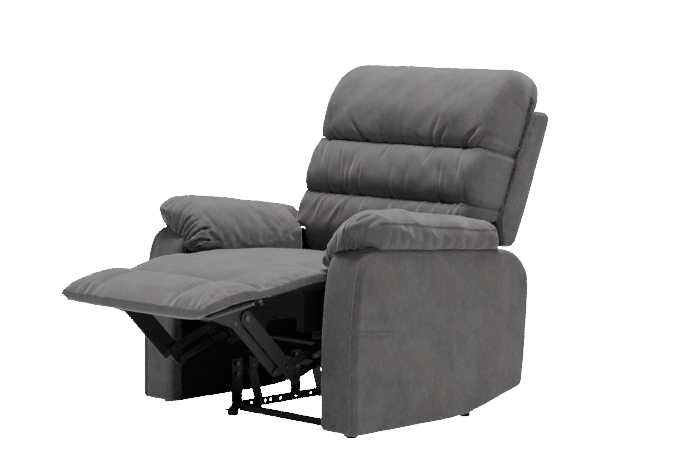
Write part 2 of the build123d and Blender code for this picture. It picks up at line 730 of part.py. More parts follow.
SHELL_TOE = 50.0  # how far the shell's side runs back at its lower end
SHELL_TOP_R = 22.0
with BuildPart() as back_shell:
    with BuildSketch(leaned(-SHELL_HALF)) as outline:
        with BuildLine():
            Polyline(
                (SHELL_FRONT, SHELL_TOP),
                (SHELL_FRONT, SHELL_LOW + SHELL_TOE + 8),
                (SHELL_FRONT + SHELL_TOE, SHELL_LOW),
                (SHELL_REAR, SHELL_LOW),
                (SHELL_REAR, SHELL_TOP),
                close=True,
            )
        make_face()
        fillet(outline.vertices().sort_by(Axis.X)[-2:], SHELL_TOP_R)
    extrude(amount=2 * SHELL_HALF)
    with BuildSketch(leaned(-shell_inner)):
        with Locations(((SHELL_FRONT + SHELL_REAR - SHELL_WALL) / 2, (SHELL_LOW + SHELL_TOP) / 2)):
            Rectangle(SHELL_REAR - SHELL_WALL - SHELL_FRONT, SHELL_TOP - SHELL_LOW - 2 * SHELL_WALL)
    extrude(amount=2 * shell_inner, mode=Mode.SUBTRACT)
    shell_ends = back_shell.faces().filter_by(Axis.X).sort_by(Axis.X)
    fillet(shell_ends[0].edges() + shell_ends[-1].edges(), 6)
save(back_shell.part, "back_shell")

# Back cushions: head, middle and lumbar rolls, drawn in at the seams between them
SEAM_SINK = 26.0
SEAM_GAP = 0.5
HEAD_TOP_DROP = 55.0
LUMBAR_REAR = -25.0


def padded(depth, full):
    """A depth in front of the frame, drawn in towards it by the fullness."""
    return SHELL_FRONT + (depth - SHELL_FRONT) * full


with BuildPart() as head_cushion:
    low = SEAM_HIGH + SEAM_GAP
    for x, full in swell(BACK_HALF, 0.72):
        top = BACK_TOP - 90 * (1 - full)
        crest = (padded(BACK_FACE + 32, full), top - HEAD_TOP_DROP)
        behind = (SHELL_FRONT + 22, top - HEAD_TOP_DROP + 14)
        with BuildSketch(leaned(x)):
            with BuildLine():
                Line((SHELL_FRONT, low), (padded(BACK_FACE + SEAM_SINK, full), low))
                bulge = (padded(BACK_FACE - 8, full), (low + top) / 2 - 20)
                ThreePointArc((padded(BACK_FACE + SEAM_SINK, full), low), bulge, crest)
                ThreePointArc(crest, (padded(-35, full), top), behind)
                Line(behind, (SHELL_FRONT, SHELL_TOP - 30))
                Line((SHELL_FRONT, SHELL_TOP - 30), (SHELL_FRONT, low))
            make_face()
    loft()
    with BuildSketch(leaned(-SHELL_HALF - 5)):
        with Locations(((SHELL_FRONT + SHELL_REAR) / 2, (SHELL_TOP + SEAM_HIGH) / 2)):
            Rectangle(SHELL_REAR - SHELL_FRONT, SHELL_TOP - SEAM_HIGH)
    extrude(amount=2 * SHELL_HALF + 10, mode=Mode.SUBTRACT)
save(head_cushion.part, "head_cushion")

with BuildPart() as middle_cushion:
    low = SEAM_LOW + SEAM_GAP
    high = SEAM_HIGH - SEAM_GAP
    for x, full in swell(BACK_HALF, 0.72):
        seam = padded(BACK_FACE + SEAM_SINK, full)
        with BuildSketch(leaned(x)):
            with BuildLine():
                Line((SHELL_FRONT, low), (seam, low))
                ThreePointArc((seam, low), (padded(BACK_FACE - 6, full), (low + high) / 2), (seam, high))
                Line((seam, high), (SHELL_FRONT, high))
                Line((SHELL_FRONT, high), (SHELL_FRONT, low))
            make_face()
    loft()
save(middle_cushion.part, "middle_cushion")

with BuildPart() as lumbar_cushion:
    high = SEAM_LOW - SEAM_GAP
    for x, full in swell(seat_half, 0.86):
        seam = padded(BACK_FACE + SEAM_SINK, full)
        foot = padded(BACK_FACE + 36, full)
        with BuildSketch(leaned(x)):
            with BuildLine():
                Line((LUMBAR_REAR, LUMBAR_LOW), (foot, LUMBAR_LOW))
                belly = (padded(BACK_FACE + 2, full), (LUMBAR_LOW + high) / 2)
                ThreePointArc((foot, LUMBAR_LOW), belly, (seam, high))
                Line((seam, high), (SHELL_FRONT, high))
                Line((SHELL_FRONT, high), (SHELL_FRONT, 4 * LUMBAR_LOW))
                Line((SHELL_FRONT, 4 * LUMBAR_LOW), (LUMBAR_REAR, LUMBAR_LOW))
            make_face()
    loft()
    with BuildSketch(leaned(-BACK_HALF + 12)):
        with BuildLine():
            Polyline(
                (SHELL_FRONT, WING_LOW),
                (SHELL_FRONT, high),
                (BACK_FACE + SEAM_SINK + 24, high),
                (BACK_FACE + SEAM_SINK + 30, WING_LOW),
                close=True,
            )
        make_face()
    extrude(amount=2 * (BACK_HALF - 12))
save(lumbar_cushion.part, "lumbar_cushion")

# Footrest: board, brackets, and the bridge and foot pads
BOARD_REAR = -198.0
BOARD_LOW_FRONT = 377.0
BOARD_LOW_REAR = 406.0
BOARD_CORNER_R = 24.0
FLANGE_FRONT = -340.0
FLANGE_REAR = -204.0
FLANGE_WIDE = 22.0
board_slope = atan2(BOARD_LOW_REAR - BOARD_LOW_FRONT, BOARD_REAR - FOOTREST_FRONT)


def board_low(back):
    """Height of the footrest board's underside."""
    return BOARD_LOW_FRONT + (back - FOOTREST_FRONT) * sin(board_slope) / cos(board_slope)


def board_top(back):
    """Height of the footrest board's upper face."""
    return board_low(back) + BOARD_THICK / cos(board_slope)


board_plane = Plane(
    origin=(0, ARM_FRONT + FOOTREST_FRONT, BOARD_LOW_FRONT),
    x_dir=(1, 0, 0),
    z_dir=(0, -sin(board_slope), cos(board_slope)),
)
board_long = (BOARD_REAR - FOOTREST_FRONT) / cos(board_slope)

with BuildPart() as footrest_board:
    with BuildSketch(board_plane):
        with Locations((0, board_long / 2)):
            RectangleRounded(2 * footrest_half - 4, board_long, BOARD_CORNER_R)
    extrude(amount=BOARD_THICK)
save(footrest_board.part, "footrest_board")

for word, hand in SIDES:
    with BuildPart() as footrest_bracket:
        with BuildSketch(side(low_x(LAYERS[1], STEEL, hand))):
            root_r = 8.0
            root_drop = root_r / cos(board_slope)
            roots = [(back, board_low(back) - root_drop) for back in (-318.0, FLANGE_REAR - root_r)]
            eyes = [(root, root_r) for root in roots] + [(BRACKET_UPPER, 14.0), (BRACKET_LOWER, 14.0)]
            link_sketch(eyes, ((BRACKET_UPPER, PIN_R), (BRACKET_LOWER, PIN_R)))
        extrude(amount=STEEL)
        with BuildSketch(side(low_x(LAYERS[1], FLANGE_WIDE, hand))):
            with BuildLine():
                drop = STEEL / cos(board_slope)
                Polyline(
                    (FLANGE_FRONT, board_low(FLANGE_FRONT)),
                    (FLANGE_REAR, board_low(FLANGE_REAR)),
                    (FLANGE_REAR, board_low(FLANGE_REAR) - drop),
                    (FLANGE_FRONT, board_low(FLANGE_FRONT) - drop),
                    close=True,
                )
            make_face()
        extrude(amount=FLANGE_WIDE)
    save(footrest_bracket.part, f"footrest_bracket_{word}")

with BuildPart() as footrest_rivets:
    for hand in (1, -1):
        out_washer = (layer_end(1), LAYERS[2] - END_CLEAR)
        rivet(BRACKET_UPPER, LAYERS[1], layer_end(2) + END_CLEAR, hand, head_start=False, collar=out_washer)
        in_washer = (layer_end(0) + END_CLEAR, LAYERS[1])
        rivet(BRACKET_LOWER, LAYERS[0] - END_CLEAR, layer_end(1), hand, head_end=False, collar=in_washer)
save(footrest_rivets.part, "footrest_rivets")

FOLD_GAP = 0.8  # between the seat's nose and the bridge pad
BRIDGE_SLOPE = 5.5
CHANNEL = 96.0  # the two seams that part the footrest into three panels
CHANNEL_SINK = 9.0
PAD_SINK = 15.0
panel_stations = []
for x in (-footrest_half, -0.94 * footrest_half, -0.66 * footrest_half, -CHANNEL, 0):
    edge_sink = PAD_SINK if x == -footrest_half else 2.0 if x < -0.9 * footrest_half else 0.0
    panel_stations.append((x, edge_sink + (CHANNEL_SINK if x == -CHANNEL else 0.0)))
panel_stations += [(-x, sink) for x, sink in reversed(panel_stations[:-1])]


def nose_point(angle):
    """A point on the bridge pad's hollow end, by its angle from straight back over the top."""
    reach = NOSE_R + FOLD_GAP
    return (FOLD_AXIS[0] + reach * cos(radians(angle)), FOLD_AXIS[1] + reach * sin(radians(angle)))


with BuildPart() as bridge_pad:
    for x, sink in panel_stations:
        lip = 120 + 1.6 * sink
        low_end = (BRIDGE_END, FOLD_AXIS[1] + (BRIDGE_END - FOLD_AXIS[0]) * sin(radians(BRIDGE_SLOPE)))
        high_end = (BRIDGE_END, low_end[1] + 36 - sink)
        with BuildSketch(side(x)):
            with BuildLine():
                Line(nose_point(180 + BRIDGE_SLOPE), low_end)
                Line(low_end, high_end)
                ThreePointArc(high_end, (0.58 * BRIDGE_END, FOLD_AXIS[1] + NOSE_R - sink), nose_point(lip))
                ThreePointArc(nose_point(lip), nose_point((lip + 180) / 2), nose_point(180 + BRIDGE_SLOPE))
            make_face()
    loft()
save(bridge_pad.part, "bridge_pad")

with BuildPart() as footrest_pad:
    for x, sink in panel_stations:
        toe_low = (FOOTREST_FRONT + 7, board_top(FOOTREST_FRONT + 7))
        toe_high = (FOOTREST_FRONT + 15, toe_low[1] + 36 - 0.8 * sink)
        heel_low = (BRIDGE_END, board_top(BRIDGE_END))
        heel_rise = (BRIDGE_END - FOLD_AXIS[0]) * sin(radians(BRIDGE_SLOPE))
        heel_high = (BRIDGE_END, FOLD_AXIS[1] + heel_rise + 36 - sink)
        with BuildSketch(side(x)):
            with BuildLine():
                Line(heel_low, toe_low)
                ThreePointArc(toe_low, (FOOTREST_FRONT - 1, toe_low[1] + 18 - sink / 3), toe_high)
                ThreePointArc(toe_high, (0.72 * FOOTREST_FRONT, toe_high[1] + 24 - sink / 2), heel_high)
                Line(heel_high, heel_low)
            make_face()
    loft()
save(footrest_pad.part, "footrest_pad")

# Footrest linkage: parallel links, so that the footrest folds as one with them
FRONT_EYE = 12.0
UPPER_EYE = 19.0
LOWER_EYE = 12.0
open_r = PIN_R + OPEN_CLEAR
for word, hand in SIDES:
    with BuildPart() as front_link:
        with BuildSketch(side(low_x(LAYERS[1], STEEL, hand))):
            eyes = ((front_pivot, FRONT_EYE), (elbow, FRONT_EYE), (toe, FRONT_EYE - 1))
            holes = ((front_pivot, run_r), (elbow, PIN_R), (toe, PIN_R), (crank_pin, PIN_R))
            link_sketch(eyes, holes)
        extrude(amount=STEEL)
    save(front_link.part, f"front_ottoman_link_{word}")

    with BuildPart() as rear_link:
        with BuildSketch(side(low_x(LAYERS[1], STEEL, hand))):
            link_sketch(((rear_pivot, LINK_HALF), (tail, LINK_HALF)), ((rear_pivot, run_r),))
        extrude(amount=STEEL)
        tail_washer = (layer_end(1), LAYERS[2] - END_CLEAR)
        rivet(tail, LAYERS[1], layer_end(2) + END_CLEAR, hand, head_start=False, collar=tail_washer)
    save(rear_link.part, f"rear_ottoman_link_{word}")

    with BuildPart() as upper_link:
        with BuildSketch(side(low_x(LAYERS[2], STEEL, hand))):
            holes = ((BRACKET_UPPER, open_r), (elbow, run_r), (tail, open_r))
            link_sketch(((BRACKET_UPPER, UPPER_EYE), (tail, UPPER_EYE)), holes)
        extrude(amount=STEEL)
    save(upper_link.part, f"upper_ottoman_link_{word}")

    with BuildPart() as lower_link:
        with BuildSketch(side(low_x(LAYERS[0], STEEL, hand))):
            eyes = ((BRACKET_LOWER, LOWER_EYE), (toe, LOWER_EYE))
            link_sketch(eyes, ((BRACKET_LOWER, open_r), (toe, run_r)))
        extrude(amount=STEEL)
    save(lower_link.part, f"lower_ottoman_link_{word}")

with BuildPart() as front_link_rivets:
    for hand in (1, -1):
        outer_washer = (layer_end(1), LAYERS[2] - END_CLEAR)
        for spot in (elbow, crank_pin):
            rivet(spot, LAYERS[1], layer_end(2) + END_CLEAR, hand, head_start=False, collar=outer_washer)
        inner_washer = (layer_end(0) + END_CLEAR, LAYERS[1])
        rivet(toe, LAYERS[0] - END_CLEAR, layer_end(1), hand, head_end=False, collar=inner_washer)
save(front_link_rivets.part, "front_link_rivets")

# Drive tube: ties the two sides, with a crank and a drive link on each
with BuildPart() as drive_tube:
    with BuildSketch(side(-layer_end(1))):
        with Locations(drive_pivot):
            Circle(JOURNAL_R)
            Circle(JOURNAL_R - 2, mode=Mode.SUBTRACT)
    extrude(amount=2 * layer_end(1))
save(drive_tube.part, "drive_tube")

for word, hand in SIDES:
    with BuildPart() as drive_crank:
        with BuildSketch(side(low_x(LAYERS[1], STEEL, hand))):
            link_sketch(((drive_pivot, JOURNAL_R + 5), (crank_end, LINK_HALF)), ((drive_pivot, JOURNAL_R),))
        extrude(amount=STEEL)
        crank_washer = (layer_end(1), LAYERS[2] - END_CLEAR)
        rivet(crank_end, LAYERS[1], layer_end(2) + END_CLEAR, hand, head_start=False, collar=crank_washer)
    save(drive_crank.part, f"drive_crank_{word}")

    with BuildPart() as drive_link:
        with BuildSketch(side(low_x(LAYERS[2], STEEL, hand))):
            eyes = ((crank_end, LINK_HALF), (crank_pin, LINK_HALF))
            link_sketch(eyes, ((crank_end, run_r), (crank_pin, open_r)))
        extrude(amount=STEEL)
    save(drive_link.part, f"drive_link_{word}")
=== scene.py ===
import json
from math import pi, radians

import bmesh
import bpy
import numpy as np
from mathutils.bvhtree import BVHTree
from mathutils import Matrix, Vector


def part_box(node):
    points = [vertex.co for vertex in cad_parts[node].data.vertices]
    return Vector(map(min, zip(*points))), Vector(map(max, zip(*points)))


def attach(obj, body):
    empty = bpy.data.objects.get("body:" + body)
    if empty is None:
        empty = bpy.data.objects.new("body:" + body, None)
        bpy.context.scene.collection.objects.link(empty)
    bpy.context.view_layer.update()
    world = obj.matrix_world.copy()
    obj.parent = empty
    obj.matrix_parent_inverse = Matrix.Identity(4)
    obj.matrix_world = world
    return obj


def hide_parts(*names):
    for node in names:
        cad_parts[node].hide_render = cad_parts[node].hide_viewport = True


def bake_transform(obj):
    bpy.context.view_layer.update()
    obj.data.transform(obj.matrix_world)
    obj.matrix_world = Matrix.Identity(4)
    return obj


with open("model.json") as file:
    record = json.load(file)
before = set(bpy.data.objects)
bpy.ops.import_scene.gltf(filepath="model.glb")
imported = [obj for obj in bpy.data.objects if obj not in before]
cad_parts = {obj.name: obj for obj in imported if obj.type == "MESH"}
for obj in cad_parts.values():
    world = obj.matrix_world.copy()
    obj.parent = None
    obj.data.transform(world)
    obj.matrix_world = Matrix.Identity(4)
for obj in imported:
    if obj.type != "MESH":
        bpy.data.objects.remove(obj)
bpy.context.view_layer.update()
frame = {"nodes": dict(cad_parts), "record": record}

# Studio: a white sweep under large soft lights, as product photographs are lit.
# The camera stands where the photograph was taken, about six and a half metres off, a little above the head
# roll. The paper and the world glow only for the camera, so that the background is white.
camera_data = bpy.data.cameras.new("photo_camera")
camera_data.lens = 119.5
camera_data.sensor_width = 36.0
camera = bpy.data.objects.new("photo_camera", camera_data)
camera.location = (4.64, -4.459, 1.22)
camera.rotation_euler = (radians(90 - 6.08), 0, radians(45.12))
bpy.context.collection.objects.link(camera)
bpy.context.scene.camera = camera


def linear(code):
    """An sRGB hex code as linear red, green, blue and full alpha."""
    shares = np.array([int(code[at : at + 2], 16) for at in (1, 3, 5)]) / 255
    low = shares / 12.92
    high = ((shares + 0.055) / 1.055) ** 2.4
    return (*np.where(shares <= 0.04045, low, high), 1.0)


def add(owner, kind, inputs=(), **settings):
    """Add a node of this kind to a material or world, with its settings, and set or link its inputs."""
    made = owner.node_tree.nodes.new(kind)
    for name, value in settings.items():
        setattr(made, name, value)
    for name, value in dict(inputs).items():
        if isinstance(value, bpy.types.NodeSocket):
            owner.node_tree.links.new(value, made.inputs[name])
        else:
            made.inputs[name].default_value = value
    return made


def bare_material(name):
    """A new material with no nodes in it yet."""
    made = bpy.data.materials.new(name)
    made.use_nodes = True
    made.node_tree.nodes.clear()
    return made


paper = bare_material("white_paper_sweep")
paper_lit = add(paper, "ShaderNodeBsdfDiffuse", {"Color": linear("#f2f2f2")})
paper_seen = add(paper, "ShaderNodeLightPath").outputs["Is Camera Ray"]
paper_glow = add(paper, "ShaderNodeEmission", {"Color": linear("#ffffff"), "Strength": 60.0})
paper_both = add(paper, "ShaderNodeAddShader", {0: paper_lit.outputs[0], 1: paper_glow.outputs[0]})
paper_mix = add(
    paper, "ShaderNodeMixShader", {0: paper_seen, 1: paper_lit.outputs[0], 2: paper_both.outputs[0]}
)
add(paper, "ShaderNodeOutputMaterial", {"Surface": paper_mix.outputs[0]})

sweep_mesh = bpy.data.meshes.new("paper_sweep")
sweep_mesh.from_pydata([(-30, -30, 0), (30, -30, 0), (30, 30, 0), (-30, 30, 0)], [], [(0, 1, 2, 3)])
sweep_mesh.materials.append(paper)
sweep = bpy.data.objects.new("paper_sweep", sweep_mesh)
bpy.context.collection.objects.link(sweep)

world = bpy.data.worlds.new("white_studio")
world.use_nodes = True
world.node_tree.nodes.clear()
world_lit = add(world, "ShaderNodeBackground", {"Color": (1, 1, 1, 1), "Strength": 0.23})
world_glow = add(world, "ShaderNodeBackground", {"Color": (1, 1, 1, 1), "Strength": 60.0})
world_seen = add(world, "ShaderNodeLightPath").outputs["Is Camera Ray"]
world_mix = add(
    world, "ShaderNodeMixShader", {0: world_seen, 1: world_lit.outputs[0], 2: world_glow.outputs[0]}
)
add(world, "ShaderNodeOutputWorld", {"Surface": world_mix.outputs[0]})
bpy.context.scene.world = world

for light_name, spot, aim, size, power in (
    ("overhead_box", (0.2, 0.9, 6.4), (0, 0, 0.4), 3.4, 1230.0),
    ("left_box", (-1.2, -3.4, 2.0), (0, 0, 0.4), 2.0, 22.0),
    ("right_box", (3.6, -0.9, 2.1), (0, 0, 0.3), 2.0, 6.0),
):
    light_data = bpy.data.lights.new(light_name, "AREA")
    light_data.size = size
    light_data.energy = power
    light = bpy.data.objects.new(light_name, light_data)
    light.location = spot
    way = np.array(aim) - np.array(spot)
    flat = np.hypot(way[0], way[1])
    light.rotation_euler = (np.arctan2(flat, -way[2]), 0, np.arctan2(-way[0], way[1]))
    bpy.context.collection.objects.link(light)

# Brushed microfibre: a suede-like knit with a short raised nap, dyed charcoal and printed in a worn tone.
# It gives the eye soft mottling a few centimetres across, paler scuffs, upright streaks from the brushing,
# no gloss, and a faint bloom at grazing angles.
microfibre = bare_material("brushed_microfibre_charcoal")
cloth_place = add(microfibre, "ShaderNodeTexCoord").outputs["Object"]
cloth_clouds = add(
    microfibre,
    "ShaderNodeTexNoise",
    {"Vector": cloth_place, "Scale": 1 / 0.075, "Detail": 5.0, "Roughness": 0.62},
)
cloth_depth = add(
    microfibre,
    "ShaderNodeMapRange",
    {"Value": cloth_clouds.outputs["Fac"], "From Min": 0.36, "From Max": 0.66},
)
cloth_tone = add(
    microfibre,
    "ShaderNodeMix",
    {0: cloth_depth.outputs[0], 6: linear("#3c3b3b"), 7: linear("#464545")},
    data_type="RGBA",
)
cloth_patches = add(
    microfibre,
    "ShaderNodeTexNoise",
    {"Vector": cloth_place, "Scale": 1 / 0.13, "Detail": 3.0, "Roughness": 0.6},
)
cloth_warmth = add(
    microfibre,
    "ShaderNodeMapRange",
    {"Value": cloth_patches.outputs["Fac"], "From Min": 0.48, "From Max": 0.74, "To Max": 0.55},
)
cloth_tinted = add(
    microfibre,
    "ShaderNodeMix",
    {0: cloth_warmth.outputs[0], 6: cloth_tone.outputs[2], 7: linear("#484441")},
    data_type="RGBA",
)
cloth_scuffs = add(
    microfibre,
    "ShaderNodeTexNoise",
    {"Vector": cloth_place, "Scale": 1 / 0.016, "Detail": 6.0, "Roughness": 0.7, "Distortion": 0.8},
)
cloth_rubbed = add(
    microfibre,
    "ShaderNodeMapRange",
    {"Value": cloth_scuffs.outputs["Fac"], "From Min": 0.52, "From Max": 0.8, "To Max": 0.6},
)
cloth_worn = add(
    microfibre,
    "ShaderNodeMix",
    {0: cloth_rubbed.outputs[0], 6: cloth_tinted.outputs[2], 7: linear("#545252")},
    data_type="RGBA",
)
# The brushing leaves upright streaks about 7 mm wide and several centimetres long.
cloth_brushed = add(microfibre, "ShaderNodeMapping", {"Vector": cloth_place, "Scale": (1.0, 1.0, 0.28)})
cloth_streaks = add(
    microfibre,
    "ShaderNodeTexNoise",
    {"Vector": cloth_brushed.outputs[0], "Scale": 1 / 0.007, "Detail": 4.0, "Roughness": 0.6},
)
cloth_streaked = add(
    microfibre,
    "ShaderNodeMapRange",
    {"Value": cloth_streaks.outputs["Fac"], "From Min": 0.3, "From Max": 0.7, "To Min": 0.91, "To Max": 1.09},
)
cloth_colour = add(
    microfibre,
    "ShaderNodeMix",
    {0: 1.0, 6: cloth_worn.outputs[2], 7: cloth_streaked.outputs[0]},
    data_type="RGBA",
    blend_type="MULTIPLY",
)
# The nap is about 0.5 mm; it is drawn at 2 mm, because finer would not show.
cloth_nap = add(microfibre, "ShaderNodeTexNoise", {"Vector": cloth_place, "Scale": 1 / 0.002, "Detail": 3.0})
cloth_grain = add(
    microfibre, "ShaderNodeTexVoronoi", {"Vector": cloth_place, "Scale": 1 / 0.006}, feature="SMOOTH_F1"
)
cloth_height = add(
    microfibre,
    "ShaderNodeMath",
    {0: cloth_nap.outputs["Fac"], 1: cloth_grain.outputs["Distance"]},
    operation="ADD",
)
cloth_bump = add(
    microfibre, "ShaderNodeBump", {"Height": cloth_height.outputs[0], "Strength": 0.35, "Distance": 0.0006}
)
cloth_rough = add(
    microfibre,
    "ShaderNodeMapRange",
    {"Value": cloth_scuffs.outputs["Fac"], "To Min": 0.94, "To Max": 0.74},
)
cloth_shader = add(
    microfibre,
    "ShaderNodeBsdfPrincipled",
    {
        "Base Color": cloth_colour.outputs[2],
        "Roughness": cloth_rough.outputs[0],
        "Normal": cloth_bump.outputs[0],
        "Specular IOR Level": 0.25,
        "Sheen Weight": 0.60,
        "Sheen Roughness": 0.45,
        "Sheen Tint": linear("#b9b6b4"),
    },
)
add(microfibre, "ShaderNodeOutputMaterial", {"Surface": cloth_shader.outputs[0]})

# Arm bodies: plywood boxes padded with thin foam and wrapped in the cloth, one on each side of the seat.
# The cover is a front strip and an outer side, sewn together down the front corner. It is stapled underneath,
# and the side towards the seat is closed with a black lining.
front = -0.249  # Y of the arm fronts
arm_inner = 0.296
arm_outer = 0.430
arm_edge = 0.013
arm_crown = 0.0025
arm_outline = (  # distance back from the arm's front, and height
    (0.003, 0.056), (0.000, 0.075), (0.001, 0.200), (0.004, 0.300), (0.010, 0.370), (0.018, 0.430),
    (0.026, 0.470), (0.034, 0.494), (0.045, 0.5115), (0.062, 0.5270), (0.084, 0.5360), (0.115, 0.5375),
    (0.200, 0.5300), (0.350, 0.5185), (0.500, 0.5070), (0.575, 0.5005), (0.612, 0.4930), (0.646, 0.4760),
    (0.672, 0.4500), (0.687, 0.4200), (0.6905, 0.380), (0.6870, 0.300), (0.6785, 0.200), (0.6690, 0.128),
    (0.6640, 0.1135), (0.6540, 0.1060), (0.592, 0.0905), (0.524, 0.0730), (0.460, 0.0590), (0.400, 0.0520),
    (0.330, 0.0502), (0.200, 0.050), (0.100, 0.050), (0.020, 0.050), (0.008, 0.0515),
)


def smooth_line(points, count, loop=False):
    """Evenly spaced points on a Catmull-Rom line through these points, open or closed on itself."""
    knots = np.asarray(points, float)
    if loop:
        run = np.vstack((knots[-1:], knots, knots[:2]))
    else:
        run = np.vstack((2 * knots[:1] - knots[1:2], knots, 2 * knots[-1:] - knots[-2:-1]))
    a, b, c, d = run[:-3], run[1:-2], run[2:-1], run[3:]
    t = np.linspace(0, 1, 24, endpoint=False)[:, None, None]
    bend = 2 * b + (c - a) * t + (2 * a - 5 * b + 4 * c - d) * t**2 + (3 * b - a - 3 * c + d) * t**3
    dense = np.vstack(((0.5 * bend).transpose(1, 0, 2).reshape(-1, knots.shape[1]), run[-2:-1]))
    length = np.append(0, np.cumsum(np.linalg.norm(np.diff(dense, axis=0), axis=1)))
    even = np.linspace(0, length[-1], count, endpoint=not loop)
    return np.stack([np.interp(even, length, dense[:, axis]) for axis in range(knots.shape[1])], axis=1)


def ripple(points, size, seed):
    """Unevenness of about -1 to 1: the sum of eight plane waves of about this length, in seeded directions."""
    chance = np.random.default_rng(seed)
    ways = chance.normal(size=(8, 3))
    ways *= (2 * pi / size * chance.uniform(0.7, 1.4, 8) / np.linalg.norm(ways, axis=1))[:, None]
    return np.sin(points @ ways.T + chance.uniform(0, 2 * pi, 8)).sum(-1) / 3.2


def wrapped_board(outline, thick, edge, crown):
    """Rows over a padded board, from the middle of its far face over the rim to that of its near face.

    A row is the outline pulled in by edge (1 - sin) at a level that turns by edge (1 - cos). On the faces
    it shrinks towards the middle, and the crown falls off with the cube of that share.
    """
    along = np.roll(outline, -1, 0) - np.roll(outline, 1, 0)
    out = np.stack((along[:, 1], -along[:, 0]), 1) / np.linalg.norm(along, axis=1)[:, None]
    x, y = outline.T
    out *= np.sign(np.sum(x * np.roll(y, -1) - np.roll(x, -1) * y))
    turn = np.linspace(0, pi / 2, 7)[1:]
    face = 1 - (1 - np.linspace(0, 1, 34)) ** 1.5
    band = np.linspace(thick - edge, edge, 9)[1:-1]
    by_sine, by_cosine = edge * (1 - np.sin(turn)), edge * (1 - np.cos(turn))
    pulled = np.full(len(face), edge)
    share = np.concatenate((face, np.ones(len(turn) + len(band) + len(turn)), face[::-1]))
    pull = np.concatenate((pulled, by_sine, 0 * band, by_cosine, pulled))
    top = thick + crown * (1 - face**3)
    level = np.concatenate((top, thick - by_cosine, band, by_sine, (thick - top)[::-1]))
    middle = outline.mean(0)
    rim = outline[None] - pull[:, None, None] * out[None]
    flat = middle + share[:, None, None] * (rim - middle)
    return np.concatenate((flat, np.broadcast_to(level[:, None, None], flat.shape[:2] + (1,))), axis=2)


def sew(name, rows, materials, held=None, choose=None, drop=None):
    """A closed mesh over a grid of points whose columns run round; doubles at its poles and ends are merged.

    held is a weight for each point that a swelling keeps in place, choose gives a material number for each
    face from its middle, and drop leaves faces out by their middle.
    """
    count, across = rows.shape[:2]
    number = np.arange(count * across).reshape(count, across)
    beside = np.roll(number, -1, 1)
    faces = np.stack((number[:-1], beside[:-1], beside[1:], number[1:]), -1).reshape(-1, 4)
    points = rows.reshape(-1, 3)
    middles = points[faces].mean(1)
    if drop is not None:
        keep = ~drop(middles)
        faces, middles = faces[keep], middles[keep]
    mesh = bpy.data.meshes.new(name)
    mesh.from_pydata(points.tolist(), [], faces.tolist())
    for material in materials:
        mesh.materials.append(material)
    if choose is not None:
        mesh.polygons.foreach_set("material_index", choose(middles).astype(np.int32))
    if held is not None:
        weight = mesh.attributes.new("held", "FLOAT", "POINT")
        weight.data.foreach_set("value", held.reshape(-1).astype(np.float32))
    shape = bmesh.new()
    shape.from_mesh(mesh)
    bmesh.ops.remove_doubles(shape, verts=shape.verts, dist=2e-5)
    bmesh.ops.dissolve_degenerate(shape, edges=shape.edges, dist=1e-6)
    bmesh.ops.recalc_face_normals(shape, faces=shape.faces)
    shape.to_mesh(mesh)
    shape.free()
    mesh.shade_smooth()
    piece = bpy.data.objects.new(name, mesh)
    bpy.context.collection.objects.link(piece)
    return piece


# Black lining: a thin non-woven polypropylene cloth, bonded in small dots and stapled over open undersides.
# It is dull and nearly black, with a faint dotted press pattern 3 mm apart.
lining = bare_material("black_nonwoven_lining")
lining_place = add(lining, "ShaderNodeTexCoord").outputs["Object"]
lining_dots = add(
    lining, "ShaderNodeTexVoronoi", {"Vector": lining_place, "Scale": 1 / 0.003, "Randomness": 0.15}
)
lining_fuzz = add(lining, "ShaderNodeTexNoise", {"Vector": lining_place, "Scale": 1 / 0.02, "Detail": 4.0})
lining_tone = add(
    lining,
    "ShaderNodeMix",
    {0: lining_fuzz.outputs["Fac"], 6: linear("#0b0b0b"), 7: linear("#191919")},
    data_type="RGBA",
)
lining_bump = add(
    lining, "ShaderNodeBump", {"Height": lining_dots.outputs["Distance"], "Strength": 0.3, "Distance": 0.0004}
)
lining_shader = add(
    lining,
    "ShaderNodeBsdfPrincipled",
    {
        "Base Color": lining_tone.outputs[2],
        "Roughness": 0.95,
        "Specular IOR Level": 0.15,
        "Normal": lining_bump.outputs[0],
    },
)
add(lining, "ShaderNodeOutputMaterial", {"Surface": lining_shader.outputs[0]})

# Seam thread: bonded polyester, spun in three strands and a little darker than the cloth.
# It gives short dashes along a seam, with a twist about 1 mm long.
thread = bare_material("bonded_polyester_thread")
thread_place = add(thread, "ShaderNodeTexCoord").outputs["Object"]
thread_twist = add(thread, "ShaderNodeTexNoise", {"Vector": thread_place, "Scale": 1 / 0.0009, "Detail": 2.0})
thread_tone = add(
    thread,
    "ShaderNodeMix",
    {0: thread_twist.outputs["Fac"], 6: linear("#2c2b2b"), 7: linear("#474545")},
    data_type="RGBA",
)
thread_shader = add(
    thread, "ShaderNodeBsdfPrincipled", {"Base Color": thread_tone.outputs[2], "Roughness": 0.55}
)
add(thread, "ShaderNodeOutputMaterial", {"Surface": thread_shader.outputs[0]})


